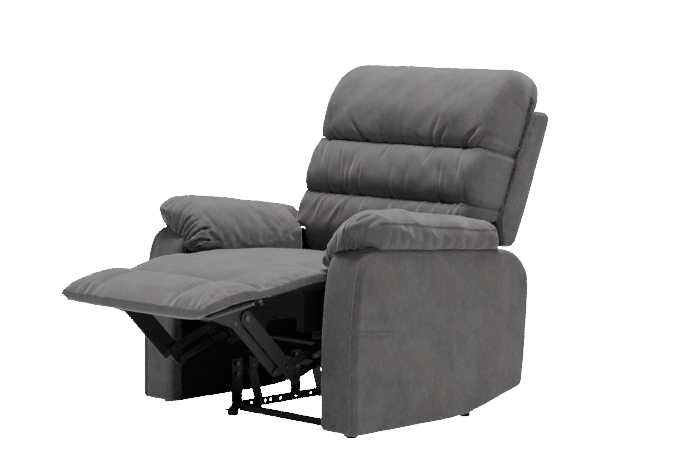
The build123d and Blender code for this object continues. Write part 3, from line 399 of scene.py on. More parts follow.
def lap_seam(name, piece, path, body, wide=0.0085, high=0.0015):
    """A lapped seam along a path on a cover: a low strip of cloth with two rows of stitches sewn through it.

    Points of the path go to the cover's nearest points. The strip is a flat arch across; a stitch is a
    five-sided rod 5.5 mm long with drawn-in ends, and the stitches follow each other every 7.5 mm.
    """
    mesh = piece.data
    tree = BVHTree.FromPolygons([v.co[:] for v in mesh.vertices], [p.vertices[:] for p in mesh.polygons])
    length = np.linalg.norm(np.diff(path, axis=0), axis=1).sum()

    def along(count):
        """Places, ways on, ways across and ways out at evenly spaced points of the path."""
        near = [tree.find_nearest(point) for point in smooth_line(path, count).tolist()]
        at = np.array([hit[0] for hit in near])
        out = np.array([hit[1] for hit in near])
        on = np.gradient(at, axis=0)
        on /= np.linalg.norm(on, axis=1)[:, None]
        side = np.cross(out, on)
        side /= np.linalg.norm(side, axis=1)[:, None]
        return at, on, side, out

    at, _, side, out = along(max(int(length / 0.004), 4))
    reach = np.array((-0.5, -0.46, -0.25, 0.0, 0.25, 0.46, 0.5)) * wide
    rise = np.array((-0.4, 0.75, 1.0, 0.8, 1.0, 0.75, -0.4)) * high
    strip = at[:, None] + reach[:, None] * side[:, None] + rise[:, None] * out[:, None]
    number = np.arange(strip[..., 0].size).reshape(strip.shape[:2])
    faces = np.stack((number[:-1, :-1], number[:-1, 1:], number[1:, 1:], number[1:, :-1]), -1).reshape(-1, 4)
    cloth = bpy.data.meshes.new(name)
    cloth.from_pydata(strip.reshape(-1, 3).tolist(), [], faces.tolist())
    cloth.materials.append(microfibre)
    at, on, side, out = along(max(int(length / 0.0075), 3))
    turn = np.linspace(0, 2 * pi, 6)[:-1]
    ends = np.array((-0.5, -0.36, 0.36, 0.5)) * 0.0055
    thin = np.array((0.2, 1.0, 1.0, 0.2)) * 0.00055
    ring = np.broadcast_arrays(ends[:, None], thin[:, None] * np.cos(turn), thin[:, None] * np.sin(turn))
    ring = np.stack(ring, -1).reshape(-1, 3)
    ways = np.stack((on, side, out), 1)
    rods = np.concatenate([
        at[:, None] + (share * wide * side + high * out)[:, None] + ring @ ways for share in (-0.25, 0.25)
    ])
    corner = np.arange(len(turn))
    after = np.roll(corner, -1)
    first = len(turn) * np.arange(len(ends) - 1)[:, None]
    then = first + len(turn)
    rod = np.stack((first + corner, first + after, then + after, then + corner), -1).reshape(-1, 4)
    rods_faces = (rod[None] + len(ring) * np.arange(len(rods))[:, None, None]).reshape(-1, 4)
    sewn = bpy.data.meshes.new(f"{name}_thread")
    sewn.from_pydata(rods.reshape(-1, 3).tolist(), [], rods_faces.tolist())
    sewn.materials.append(thread)
    for made in (cloth, sewn):
        made.shade_smooth()
        part = bpy.data.objects.new(made.name, made)
        bpy.context.collection.objects.link(part)
        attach(part, body)


pocket_low, pocket_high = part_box("release_bezel")
pocket_half = (0.058, 0.032)  # along and up
cover_return = 0.028  # of the front strip onto the inner side
lean_up, lean_back = (0.3, 0.37, 0.43, 0.47, 0.51), (0.004, 0.010, 0.018, 0.026, 0.046)
front_seam = 0.413
arm_line = smooth_line(arm_outline, 330, loop=True)
for word, hand in (("left", 1), ("right", -1)):
    board = wrapped_board(arm_line, arm_outer - arm_inner, arm_edge, arm_crown)
    rows = np.stack((hand * (arm_inner + board[..., 2]), front + board[..., 0], board[..., 1]), -1)
    slack = 0.0011 * ripple(rows, 0.16, 3) + 0.0005 * ripple(rows, 0.06, 4)
    rows[..., 0] += hand * slack * (board[..., 2] > 0.1)

    def inside_pocket(middles):
        """Faces behind the release bezel's rim."""
        along = np.abs(middles[:, 1] - (pocket_low[1] + pocket_high[1]) / 2) < pocket_half[0]
        up = np.abs(middles[:, 2] - (pocket_low[2] + pocket_high[2]) / 2) < pocket_half[1]
        return along & up & (middles[:, 0] < -arm_outer + 0.01)

    def inner_face(middles):
        """The inner side is lined behind the return of the cover, which follows the front's lean."""
        edge = front + cover_return + np.interp(middles[:, 2], lean_up, lean_back)
        return (np.abs(middles[:, 0]) < arm_inner + 0.006) & (middles[:, 1] > edge)

    arm_body = sew(f"arm_body_{word}", rows, (microfibre, lining), choose=inner_face, drop=inside_pocket)
    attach(arm_body, "base")
    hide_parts(f"arm_panel_{word}")
    strip = np.array([(hand * front_seam, front + back, up) for back, up in arm_outline[:10]])
    lap_seam(f"arm_front_seam_{word}", arm_body, strip, "base")
    back = np.linspace(0.008, 0.146, 8)
    yoke = np.stack(np.broadcast_arrays(hand * arm_outer, front + back, 0.325 - 0.09 * back), -1)
    lap_seam(f"arm_side_seam_{word}", arm_body, yoke, "base")

# Arm pillows: a fibre-filled cover that lies over each arm and hangs down its inner side to the seat.
# The cloth is sewn along the outer edge and drawn together at the front end, where it gathers.
# At the rear its inner side ends sooner than the outer one, where the lumbar roll swings past.
arm_stops = np.array((0.015, 0.060, 0.103, 0.155, 0.231, 0.348, 0.469, 0.596))
pillow_tops = np.array((0.626, 0.630, 0.632, 0.629, 0.621, 0.604, 0.587, 0.566))
pillow_skin = (  # across, share of the way from the arm's top to the crest, and height where that is fixed
    (0.4330, -0.03, None), (0.4400, 0.21, None), (0.4405, 0.53, None), (0.4300, 0.84, None),
    (0.4020, 0.985, None), (0.3600, 1.00, None), (0.3180, 0.86, None), (0.2820, 0.56, None),
    (0.2575, 0.17, None), (0.2490, None, 0.509), (0.2475, None, 0.495), (0.2490, None, 0.484),
    (0.2560, None, 0.4760), (0.2700, None, 0.4740),
)
pillow_bed = (
    (0.4312, -0.02, None), (0.4180, 0.01, None), (0.4040, 0.01, None), (0.3880, 0.01, None),
    (0.3640, 0.01, None), (0.3340, 0.01, None), (0.3080, 0.00, None), (0.2955, -0.12, None),
    (0.2945, -0.25, None), (0.2940, None, 0.500), (0.2940, None, 0.492), (0.2930, None, 0.486),
    (0.2900, None, 0.4800), (0.2800, None, 0.4765),
)
# At each place of these lines: where the pillow starts and ends, how far its ends take to round out, how much
# it follows the round of the arm, and how far its nose stands out.
pillow_start = (
    0.094, 0.094, 0.091, 0.083, 0.060, 0.045, 0.048, 0.049, 0.046, 0.043, 0.044, 0.049, 0.060, 0.074,
)
pillow_nose = (
    0.018, 0.026, 0.032, 0.036, 0.044, 0.080, 0.100, 0.080, 0.050, 0.026, 0.022, 0.022, 0.022, 0.020,
)
pillow_tail = (
    0.020, 0.020, 0.021, 0.022, 0.026, 0.030, 0.028, 0.024, 0.020, 0.018, 0.018, 0.018, 0.018, 0.018,
)
pillow_rear = ((0, 5.0, 5.4, 8.0, 9.0, 13), (0.560, 0.560, 0.476, 0.476, 0.474, 0.474))  # places, distances
pillow_drape = (1.0, 0.95, 0.9, 0.8, 0.6, 0.55, 0.80, 1.0, 1.1, 0.0, 0.0, 0.0, 0.0, 0.0)
pillow_bulge = (0.000, 0.014, 0.026, 0.033, 0.032, 0.012, 0.0, 0.0, 0.0, 0.0, 0.0, 0.0, 0.0, 0.0)


def spline_weights(knots, places):
    """Weights that turn values at numbered knots into Catmull-Rom values at these places between them."""
    at = np.clip(places, 0, knots - 1 - 1e-9)
    low = np.floor(at).astype(int)
    t = at - low
    weights = np.zeros((len(at), knots + 2))
    parts = (-t + 2 * t**2 - t**3, 2 - 5 * t**2 + 3 * t**3, t + 4 * t**2 - 3 * t**3, -(t**2) + t**3)
    for step, part in enumerate(parts):
        np.add.at(weights, (np.arange(len(at)), low + step), 0.5 * part)
    weights[:, 1] += 2 * weights[:, 0]
    weights[:, 2] -= weights[:, 0]
    weights[:, -2] += 2 * weights[:, -1]
    weights[:, -3] -= weights[:, -1]
    return weights[:, 1:-1]


def panel_top(back):
    """Height of an arm body's top line."""
    return 0.546 - 0.054 * back / 0.692


def smooth_step(value, low, high):
    """Rises smoothly from 0 at low to 1 at high."""
    share = np.clip((value - low) / (high - low), 0, 1)
    return share * share * (3 - 2 * share)


def rounded_end(distance, reach):
    """Fullness of a rounded end: a quarter ellipse from 0 at its tip to 1 after its reach."""
    share = np.clip(distance / reach, 0, 1)
    return np.sqrt(np.clip(1 - (1 - share) ** 2, 0, 1))


def puff(piece, cap, pressure=3.0, grow=0.02, frames=14, stiff=12.0):
    """Swell a closed cover as cloth over its filling, with its held points kept, and keep the result.

    The cloth grows by a small share, so that it wrinkles where it is held, and no point moves past the cap.
    """
    mesh = piece.data
    count = len(mesh.vertices)
    rest = np.empty(count * 3)
    mesh.vertices.foreach_get("co", rest)
    rest = rest.reshape(-1, 3)
    held = np.empty(count, np.float32)
    mesh.attributes["held"].data.foreach_get("value", held)
    group = piece.vertex_groups.new(name="held")
    for weight in (1.0, 0.5):
        group.add(np.flatnonzero((held <= weight) & (held > weight - 0.5)).tolist(), weight, "REPLACE")
    swell = piece.modifiers.new("swell", "CLOTH")
    cloth = swell.settings
    cloth.quality = 4
    cloth.mass = 0.25
    cloth.tension_stiffness = stiff
    cloth.compression_stiffness = stiff
    cloth.shear_stiffness = stiff / 2
    cloth.bending_stiffness = 0.4
    cloth.use_pressure = True
    cloth.uniform_pressure_force = pressure
    cloth.shrink_min = -grow
    cloth.vertex_group_mass = "held"
    cloth.pin_stiffness = 4.0
    cloth.effector_weights.gravity = 0.0
    swell.collision_settings.use_collision = False
    swell.point_cache.frame_start = 1
    swell.point_cache.frame_end = frames
    for step in range(1, frames + 1):
        bpy.context.scene.frame_set(step)
    settled = piece.evaluated_get(bpy.context.evaluated_depsgraph_get()).data
    moved = np.empty(count * 3)
    settled.vertices.foreach_get("co", moved)
    shift = moved.reshape(-1, 3) - rest
    far = np.linalg.norm(shift, axis=1)[:, None] + 1e-9
    shift *= cap * np.tanh(far / cap) / far
    piece.modifiers.remove(swell)
    piece.vertex_groups.remove(group)
    bpy.context.scene.frame_set(1)
    mesh.vertices.foreach_set("co", (rest + shift).reshape(-1))
    mesh.update()


def refine(piece):
    """Put one subdivision into a cover's own mesh, so that folds a few millimetres wide show on it."""
    finer = piece.modifiers.new("finer", "SUBSURF")
    finer.levels = finer.render_levels = 1
    smooth = bpy.data.meshes.new_from_object(piece.evaluated_get(bpy.context.evaluated_depsgraph_get()))
    piece.modifiers.clear()
    rough = piece.data
    smooth.name = rough.name
    piece.data = smooth
    bpy.data.meshes.remove(rough)
    smooth.shade_smooth()


def fold(piece, lines, flatten, only=None):
    """Press creases into a cover along its normals, each with a soft ridge beside it.

    flatten gives every point's place on the flat cloth in metres. A line is (start, end, width, depth); the
    crease keeps its depth to its end, fades towards its start, and falls off beside the line as a bell curve.
    """
    mesh = piece.data
    points = np.empty(len(mesh.vertices) * 3)
    mesh.vertices.foreach_get("co", points)
    points = points.reshape(-1, 3)
    normals = np.empty(points.size)
    mesh.vertex_normals.foreach_get("vector", normals)
    cloth = flatten(points)
    lift = np.zeros(len(points))
    for start, end, wide, deep in lines:
        run = np.subtract(end, start)
        share = np.clip((cloth - start) @ run / (run @ run), 0, 1)
        away = np.linalg.norm(cloth - start - share[:, None] * run, axis=1)
        fade = np.clip(share / 0.45, 0, 1) ** 1.3
        ridge = 0.3 * np.exp(-((away / (2.6 * wide)) ** 2))
        groove = 1.3 * np.exp(-((away / wide) ** 2))
        lift += deep * fade * (ridge - groove)
    if only is not None:
        lift *= only(points)
    points += lift[:, None] * normals.reshape(-1, 3)
    mesh.vertices.foreach_set("co", points.reshape(-1))
    mesh.update()


arm_round = 0.090  # radius of the arm's front under the pillow
flap_drop = 0.050
pillow_radius = 0.14  # turns an angle about the line inside the arm into a length of cloth
pillow_heart = (0.335, 0.45)  # across and height of that line
tip_turns = (0.6, 0.93, 1.28, 1.79, 2.27, 2.51, 2.8)
tip_backs = (0.090, 0.056, 0.045, 0.048, 0.049, 0.046, 0.044)
pillow_seam = (
    (0.088, 0.6125), (0.124, 0.611), (0.240, 0.597), (0.360, 0.581), (0.460, 0.570), (0.548, 0.5615),
)
places = np.linspace(0, len(pillow_skin) - 1, 76)
steps = (np.linspace(0, 0.06, 12)[:-1], np.linspace(0.06, 0.97, 66)[:-1], np.linspace(0.97, 1, 7))
steps = 1 - (1 - np.concatenate(steps)) ** 1.15
round_weights = spline_weights(len(pillow_skin), places)
start_line = round_weights @ np.array(pillow_start)
nose_line = round_weights @ np.array(pillow_nose)
tail_line = round_weights @ np.array(pillow_tail)
drape_line = round_weights @ np.array(pillow_drape)
bulge_line = np.interp(places, np.arange(len(pillow_bulge)), pillow_bulge)
rear_line = np.interp(places, *pillow_rear)
back_grid = start_line[None] + (rear_line - start_line)[None] * steps[:, None]


def round_arm(table):
    """Points round the arm on a table's line, at every distance back.

    The line's height follows the arm's slope, and by its drape also the round of the arm's front. Behind that
    round, the flap on the inner side hangs lower, down to the seat.
    """
    across = round_weights @ np.array([line[0] for line in table])
    short = np.clip(0.115 - back_grid, 0, 0.0885)
    low = panel_top(back_grid) - drape_line * (arm_round - np.sqrt(arm_round**2 - short**2))
    rise = np.interp(back_grid, arm_stops, pillow_tops) - low
    share = round_weights @ np.array([line[1] or 0.0 for line in table])
    fixed = round_weights @ np.array([line[2] or 0.0 for line in table])
    free = round_weights @ np.array([float(line[1] is not None) for line in table])
    hang = flap_drop * smooth_step(back_grid, 0.140, 0.180)
    height = free * low + share * rise + fixed - (1 - free) * hang * np.clip((places - 8) / 4, 0, 1)
    return np.stack((np.broadcast_to(across, height.shape), front + back_grid, height), -1)


for word, hand, plump, seed in (("left", 1, 1.0, 21), ("right", -1, 0.9, 27)):
    bed = round_arm(pillow_bed)
    skin = round_arm(pillow_skin)
    skin[..., 2] = bed[..., 2] + np.where(places < 8.5, plump, 1.0) * (skin[..., 2] - bed[..., 2])
    heart = bed + 0.05 * (skin - bed)
    nose = rounded_end(back_grid - start_line, nose_line)
    full = nose * rounded_end(rear_line - back_grid, tail_line)
    chance = np.random.default_rng(seed)
    out = skin - bed
    out /= np.linalg.norm(out, axis=-1)[..., None] + 1e-9
    lump = 0.0016 * ripple(skin, 0.11, seed) + 0.0008 * ripple(skin, 0.045, seed + 1)
    lift = lump * full * np.clip((places[-1] - places) / 3, 0, 1)
    top = heart + full[..., None] * (skin - heart) + lift[..., None] * out
    top[..., 1] -= bulge_line * np.sin(pi * nose**1.6)
    under = heart + full[..., None] * (bed - heart)
    rows = np.concatenate((top, under[:, ::-1][:, 2:-2:3]), axis=1)
    rows[..., 0] *= hand
    keep = np.zeros(rows.shape[:2])
    keep[:, len(places) :] = 1.0
    keep[:, :2] = 1.0
    keep[:, np.flatnonzero(places > 9.2)] = 1.0
    keep[:1] = keep[-3:] = 1.0
    pillow = sew(f"arm_pillow_{word}", rows, (microfibre,), held=keep)
    puff(pillow, cap=0.005)
    refine(pillow)

    def round_pillow(points):
        """Distance back, and distance round the arm: the angle about a line inside it times the radius."""
        angle = np.arctan2(points[:, 2] - pillow_heart[1], hand * points[:, 0] - pillow_heart[0])
        return np.stack((points[:, 1] - front, pillow_radius * angle), 1)

    pleats = []
    for turn_at in (1.04, 1.20, 1.34, 1.47, 1.68, 1.84, 2.02, 2.16, 2.34, 2.48, 2.60, 2.74):
        turn_at += chance.uniform(-0.04, 0.04)
        tip = np.interp(turn_at, tip_turns, tip_backs)
        reach = chance.uniform(0.030, 0.080)
        drift = chance.uniform(-0.012, 0.012)
        deep = chance.uniform(0.0030, 0.0062)
        wide = chance.uniform(0.0030, 0.0045)
        at = pillow_radius * turn_at
        pleats.append(((tip + reach, at + drift), (tip, at), wide, deep))
    for _ in range(6):
        at = chance.uniform(0.15, 0.45)
        turn_at = chance.uniform(0.22, 0.33)
        run = chance.uniform(0.03, 0.07)
        pleats.append(((at, turn_at), (at + run * 0.5, turn_at + run), chance.uniform(0.008, 0.012), 0.0014))
    fold(pillow, pleats, round_pillow)
    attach(pillow, "base")
    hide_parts(f"arm_pad_{word}", f"arm_inner_pad_{word}")
    seam = np.array([(hand * 0.445, front + back, plump * (up - 0.54) + 0.54) for back, up in pillow_seam])
    lap_seam(f"arm_pillow_seam_{word}", pillow, seam, "base", wide=0.0060, high=0.0012)

# Seat and leg pad: one continuous foam pad from the back rolls to the front of the footrest, in one cover.
# It is sewn down across the footrest's rear edge and along two lines that part the footrest in three panels.
# The black lining closes its underside.
pad_rear, pad_front = 0.492, -0.399
chaise_back = np.array((
    pad_rear, 0.470, 0.440, 0.330, 0.210, 0.100, 0.030, 0.000, -0.060, -0.120, -0.170, -0.195, -0.215, -0.250,
    -0.310, -0.360, -0.385, pad_front,
))
chaise_top = np.array((
    0.426, 0.434, 0.4425, 0.4625, 0.4750, 0.4795, 0.4805, 0.4800, 0.4760, 0.4670, 0.4565, 0.4530, 0.4570,
    0.4600, 0.4550, 0.4400, 0.4310, 0.4270,
))
chaise_low = np.array((
    0.374, 0.376, 0.378, 0.388, 0.400, 0.420, 0.434, 0.430, 0.421, 0.4125, 0.4105, 0.4115, 0.4120, 0.4080,
    0.3970, 0.3860, 0.3785, 0.3775,
))
wide_half, narrow_half = 0.2845, 0.2395
crease_back = -0.195
channel_half = 0.155
length_steps = smooth_line(np.stack((chaise_back, 0 * chaise_back), 1), 120)[:, 0]
rear_steps = pad_rear - 0.004 * np.arange(4) / 4
length_steps = np.concatenate((rear_steps, length_steps[1:-1], -0.3975 - 0.0015 * np.arange(4) / 3))
columns = 81
turn = np.linspace(0, pi, columns)
over = np.stack((-np.sign(np.cos(turn)) * np.abs(np.cos(turn)) ** 0.32, np.sin(turn) ** 0.32), 1)
beneath = over[::-1][1:-1, 0][::3]
half = narrow_half + (wide_half - narrow_half) * (1 - smooth_step(length_steps, 0.095, 0.120))
top_line = np.interp(length_steps, chaise_back[::-1], chaise_top[::-1])
low_line = np.interp(length_steps, chaise_back[::-1], chaise_low[::-1])
rear_end = rounded_end(pad_rear - length_steps, 0.030)
ends = rear_end * rounded_end(length_steps - pad_front, 0.034) ** 0.75
side_line = low_line + (0.35 + 0.12 * smooth_step(-length_steps, 0.33, 0.39)) * (top_line - low_line)
rise = (top_line - side_line) * ends
sag = (side_line - low_line) * rear_end * rounded_end(length_steps - pad_front, 0.012) ** 0.6
x_top = half[:, None] * over[None, :, 0]
z_top = side_line[:, None] + rise[:, None] * over[None, :, 1]
crown = 0.007 * smooth_step(length_steps, -0.02, 0.10)[:, None] * (1 - (x_top / half[:, None]) ** 2)
crease = np.exp(-(((length_steps - crease_back) / 0.009) ** 2))[:, None]
channels = np.exp(-(((np.abs(x_top) - channel_half) / 0.007) ** 2))
channels *= smooth_step(-length_steps, 0.190, 0.215)[:, None]
sewn = np.maximum(crease * smooth_step(over[None, :, 1], 0.3, 0.9), channels)
tuck = 0.009 * smooth_step(np.abs(x_top), 0.205, 0.252) * smooth_step(length_steps, 0.005, 0.050)[:, None]
z_top += (crown - tuck - 0.013 * sewn) * over[None, :, 1] ** 2 * ends[:, None]
x_low = half[:, None] * beneath
belly = np.interp(length_steps, (-0.06, 0.0, 0.03, 0.10, 0.20), (0.0, 0.020, 0.024, 0.014, 0.0))
z_low = side_line[:, None] - sag[:, None] * np.clip(1 - np.abs(beneath) ** 8, 0, 1) ** 0.5
z_low -= belly[:, None] * smooth_step(1 - np.abs(beneath), 0.06, 0.22)
across = np.concatenate((x_top, x_low), axis=1)
height = np.concatenate((z_top, z_low), axis=1)
rows = np.stack((across, np.broadcast_to(front + length_steps[:, None], across.shape), height), -1)
keep = np.zeros(across.shape)
keep[:, columns:] = 1.0
keep[:, :columns] = (sewn > 0.75) | ((np.abs(x_top) > 0.215) & (length_steps > 0.0)[:, None])
keep[:2] = keep[-2:] = 1.0
keep[:, :5] = keep[:, columns - 5 : columns] = 1.0


def under_pad(middles):
    """The pad's underside, which is closed with the black lining."""
    edge = np.interp(middles[:, 1] - front, length_steps[::-1], side_line[::-1])
    return (middles[:, 2] < edge - 0.004) & (middles[:, 1] > front - 0.190)


chaise = sew("chaise_pad", rows, (microfibre, lining), held=keep, choose=under_pad)
puff(chaise, cap=0.008)
refine(chaise)


def along_chaise(points):
    """Place across and along the pad."""
    return np.stack((points[:, 0], points[:, 1] - front), 1)


chaise_folds = (
    ((0.215, -0.120), (0.276, -0.170), 0.006, 0.0030), ((0.225, -0.080), (0.279, -0.120), 0.006, 0.0025),
    ((0.170, -0.150), (0.200, -0.192), 0.006, 0.0025), ((-0.215, -0.130), (-0.270, -0.180), 0.006, 0.0025),
    ((0.060, -0.160), (0.070, -0.193), 0.006, 0.0018), ((-0.080, -0.165), (-0.085, -0.193), 0.006, 0.0018),
    ((0.180, 0.060), (0.230, 0.020), 0.008, 0.0030), ((0.170, 0.120), (0.228, 0.085), 0.008, 0.0022),
    ((0.250, -0.300), (0.276, -0.360), 0.006, 0.0025), ((0.255, -0.250), (0.279, -0.300), 0.005, 0.0025),
    ((0.230, -0.340), (0.255, -0.388), 0.006, 0.0030), ((0.150, -0.345), (0.160, -0.392), 0.007, 0.0020),
    ((-0.020, -0.350), (-0.015, -0.392), 0.007, 0.0018), ((-0.180, -0.345), (-0.190, -0.392), 0.007, 0.0020),
)
fold(chaise, chaise_folds, along_chaise, only=lambda points: points[:, 2] > 0.40)
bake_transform(chaise)
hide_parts("seat_cushion", "bridge_pad", "footrest_pad")

# Footrest board: plywood wrapped in the same cloth, which shows as a thin edge under the footrest pad.
# It is screwed to the steel brackets, and its corners are rounded.
board_tilt = np.arctan2(0.406 - 0.377, 0.197)
board_long = 0.178 / np.cos(board_tilt)
board_half = 0.277
board_front, board_up = front - 0.374, 0.3796
corner = np.linspace(0, pi / 2, 9)[:-1]
corner_r = 0.024
corners = (
    (board_half - corner_r, board_long - corner_r, 0), (corner_r - board_half, board_long - corner_r, 1),
    (corner_r - board_half, corner_r, 2), (board_half - corner_r, corner_r, 3),
)
board_line = np.concatenate([
    np.stack((x + corner_r * np.cos(corner + k * pi / 2), y + corner_r * np.sin(corner + k * pi / 2)), 1)
    for x, y, k in corners
])
board_line = smooth_line(board_line, 200, loop=True)
board = wrapped_board(board_line, 0.0102, 0.0046, 0.0)
rows = np.stack(
    (
        board[..., 0],
        board_front + board[..., 1] * np.cos(board_tilt) - board[..., 2] * np.sin(board_tilt),
        board_up + board[..., 1] * np.sin(board_tilt) + board[..., 2] * np.cos(board_tilt),
    ),
    -1,
)
board_wrap = sew("footrest_board_wrap", rows, (microfibre,))
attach(board_wrap, "footrest")
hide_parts("footrest_board")

# Back shell: the padded outside of the back, a wooden frame covered in the cloth with a welted front edge.
# Its sides show as a band beside the rolls, and it ends in a tuck above the rear rail.
lean = radians(23.0)
pivot_back, pivot_up = 0.575, 0.375


def on_back(across, depth, height):
    """Points on the leaned back: depth square to it and height along it, both from the back's pivot."""
    back = front + pivot_back + depth * np.cos(lean) + height * np.sin(lean)
    up = pivot_up - depth * np.sin(lean) + height * np.cos(lean)
    return np.stack(np.broadcast_arrays(across, back, up), -1)


shell_half = 0.335
shell_outline = (  # depth and height on the leaned back
    (0.012, 0.300), (0.015, 0.400), (0.021, 0.490), (0.026, 0.532), (0.032, 0.5455), (0.048, 0.5530),
    (0.068, 0.5600), (0.086, 0.5645), (0.099, 0.5615), (0.107, 0.5500), (0.111, 0.5200), (0.114, 0.450),
    (0.115, 0.350), (0.115, 0.250), (0.113, 0.190), (0.109, 0.174), (0.101, 0.163), (0.088, 0.1560),
    (0.068, 0.1500), (0.054, 0.1510), (0.040, 0.167), (0.022, 0.191), (0.013, 0.212), (0.0105, 0.245),
)
board = wrapped_board(smooth_line(shell_outline, 220, loop=True), 2 * shell_half, 0.016, 0.002)
rows = on_back(board[..., 2] - shell_half, board[..., 0], board[..., 1])
rows[..., 1] += 0.0016 * ripple(rows, 0.2, 8) * (board[..., 0] > 0.1)
shell = sew("back_outside", rows, (microfibre,))
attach(shell, "backrest")
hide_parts("back_shell")
welt_line = (
    (0.046, 0.537), (0.040, 0.490), (0.033, 0.431), (0.026, 0.380), (0.022, 0.329), (0.020, 0.290),
    (0.021, 0.247), (0.026, 0.212), (0.040, 0.185),
)
for word, hand in (("left", 1), ("right", -1)):
    welt = np.array([on_back(hand * 0.337, depth, height) for depth, height in welt_line])
    lap_seam(f"back_side_seam_{word}", shell, welt, "backrest", wide=0.0060)

# Back rolls: three fibre-filled rolls across the back, sewn to each other at two deep seams.
# The cover wraps round their ends to the shell, and gathers at the seams.
roll_across = (np.linspace(-1, -0.88, 14)[:-1], np.linspace(-0.88, 0.88, 86), np.linspace(0.88, 1, 14)[1:])
roll_across = np.concatenate(roll_across)


def roll_rows(skin, bed, half, top_corner, wing_up, seed):
    """Rows of a roll, from one end to the other.

    The skin line and the bed line behind it are joined into a ring. Towards each end the ring closes on the
    bed by a superellipse, (1 - |x|^32)^0.3, and the wide top corners fall by a quarter circle. Over the arms
    the bed is raised to the wing's height, so that the roll's underside slopes up and clears them.
    """
    places = np.linspace(0, len(skin) - 1, 64)
    weights = spline_weights(len(skin), places)
    line = weights @ np.array(skin)
    rest = weights @ np.array(bed)
    halves = np.interp(line[:, 1], *half)
    x = roll_across[:, None] * halves[None]
    full = np.clip(1 - np.abs(roll_across) ** 32.0, 0, 1)[:, None] ** 0.30
    near = np.clip((np.abs(x) - (halves[None] - top_corner)) / max(top_corner, 1e-6), 0, 1)
    fall = top_corner * (1 - np.sqrt(1 - near**2)) * smooth_step(line[:, 1], 0.52, 0.62)[None]
    shallow = np.clip(line[:, 0] + 0.136, 0, 0.03) * (line[:, 1] < 0.5) * smooth_step(line[:, 1], 0.10, 0.16)
    shallow = smooth_step(np.abs(roll_across), 0.80, 0.97)[:, None] * shallow
    depth = rest[None, :, 0] + full * (line[None, :, 0] - shallow - rest[None, :, 0])
    wing = smooth_step(np.abs(x), 0.280, 0.287) * (wing_up > 0)
    rest_up = rest[None, :, 1] + wing * np.clip(wing_up - rest[None, :, 1], 0, None)
    spread_up = 0.35 * (1 - wing) + (0.65 + 0.35 * wing) * full
    up = rest_up + spread_up * (line[None, :, 1] - rest_up) - fall
    seam_fade = np.sin(pi * np.clip(places / places[-1], 0, 1))[None] ** 0.6
    inset = smooth_step(depth, -0.050, 0.012) * smooth_step(np.abs(roll_across), 0.9, 1.0)[:, None]
    x = x - np.sign(x) * 0.012 * inset
    spread = np.stack((x, depth, up), -1)
    lump = 0.0022 * ripple(spread, 0.17, seed) + 0.0010 * ripple(spread, 0.06, seed + 3)
    depth = depth - lump * seam_fade * full
    behind = on_back(x, rest[None, :, 0], rest_up)[:, ::-1][:, 2:-2:4]
    return np.concatenate((on_back(x, depth, up), behind), axis=1)


# The rolls' lines give depth and height on the leaned back, and their half widths go by height.
head_skin = (
    (-0.112, 0.3775), (-0.128, 0.384), (-0.140, 0.402), (-0.147, 0.440), (-0.148, 0.490), (-0.136, 0.545),
    (-0.115, 0.592), (-0.084, 0.626), (-0.040, 0.644), (0.008, 0.646), (0.042, 0.634), (0.056, 0.606),
    (0.054, 0.576), (0.040, 0.567),
)
head_bed = (
    (0.000, 0.4200), (0.016, 0.424), (0.016, 0.432), (0.016, 0.452), (0.016, 0.490), (0.016, 0.535),
    (0.014, 0.560), (0.012, 0.572), (0.010, 0.580), (0.012, 0.582), (0.018, 0.580), (0.024, 0.576),
    (0.028, 0.571), (0.032, 0.567),
)
head_half = ((0.3775, 0.394), (0.331, 0.338))
middle_skin = (
    (-0.112, 0.2130), (-0.130, 0.219), (-0.143, 0.234), (-0.151, 0.262), (-0.151, 0.300), (-0.146, 0.335),
    (-0.136, 0.360), (-0.124, 0.372), (-0.112, 0.3765),
)
middle_bed = (
    (0.016, 0.2555), (0.016, 0.2600), (0.016, 0.268), (0.016, 0.284), (0.016, 0.312), (0.016, 0.352),
    (0.016, 0.396), (0.016, 0.4145), (0.016, 0.4190),
)
middle_half = ((0.213, 0.228, 0.361, 0.3765), (0.333, 0.340, 0.340, 0.332))
lumbar_skin = (
    (-0.050, 0.030), (-0.080, 0.034), (-0.103, 0.047), (-0.126, 0.076), (-0.140, 0.108), (-0.145, 0.142),
    (-0.146, 0.170), (-0.140, 0.192), (-0.128, 0.206), (-0.112, 0.2120),
)
lumbar_bed = (
    (-0.034, 0.036), (-0.028, 0.042), (-0.020, 0.052), (-0.004, 0.078), (0.012, 0.112), (0.016, 0.146),
    (0.016, 0.178), (0.016, 0.225), (0.016, 0.2480), (0.016, 0.2545),
)
lumbar_half = ((0.016, 0.060, 0.094, 0.108, 0.198, 0.212), (0.270, 0.280, 0.283, 0.334, 0.338, 0.332))
head_folds = (
    ((-0.207, 0.440), (-0.127, 0.374), 0.0055, 0.0060), ((-0.164, 0.400), (-0.122, 0.374), 0.0045, 0.0045),
    ((0.150, 0.470), (0.132, 0.378), 0.0080, 0.0040), ((0.197, 0.440), (0.158, 0.379), 0.0070, 0.0040),
    ((0.317, 0.445), (0.258, 0.378), 0.0055, 0.0065), ((0.296, 0.430), (0.246, 0.378), 0.0045, 0.0045),
    ((0.335, 0.430), (0.306, 0.378), 0.0050, 0.0050), ((0.065, 0.410), (0.090, 0.378), 0.0060, 0.0030),
    ((-0.270, 0.410), (-0.215, 0.377), 0.0050, 0.0040), ((-0.300, 0.470), (-0.260, 0.384), 0.0080, 0.0030),
    ((0.010, 0.430), (0.020, 0.378), 0.0080, 0.0025), ((-0.070, 0.425), (-0.055, 0.378), 0.0070, 0.0030),
)
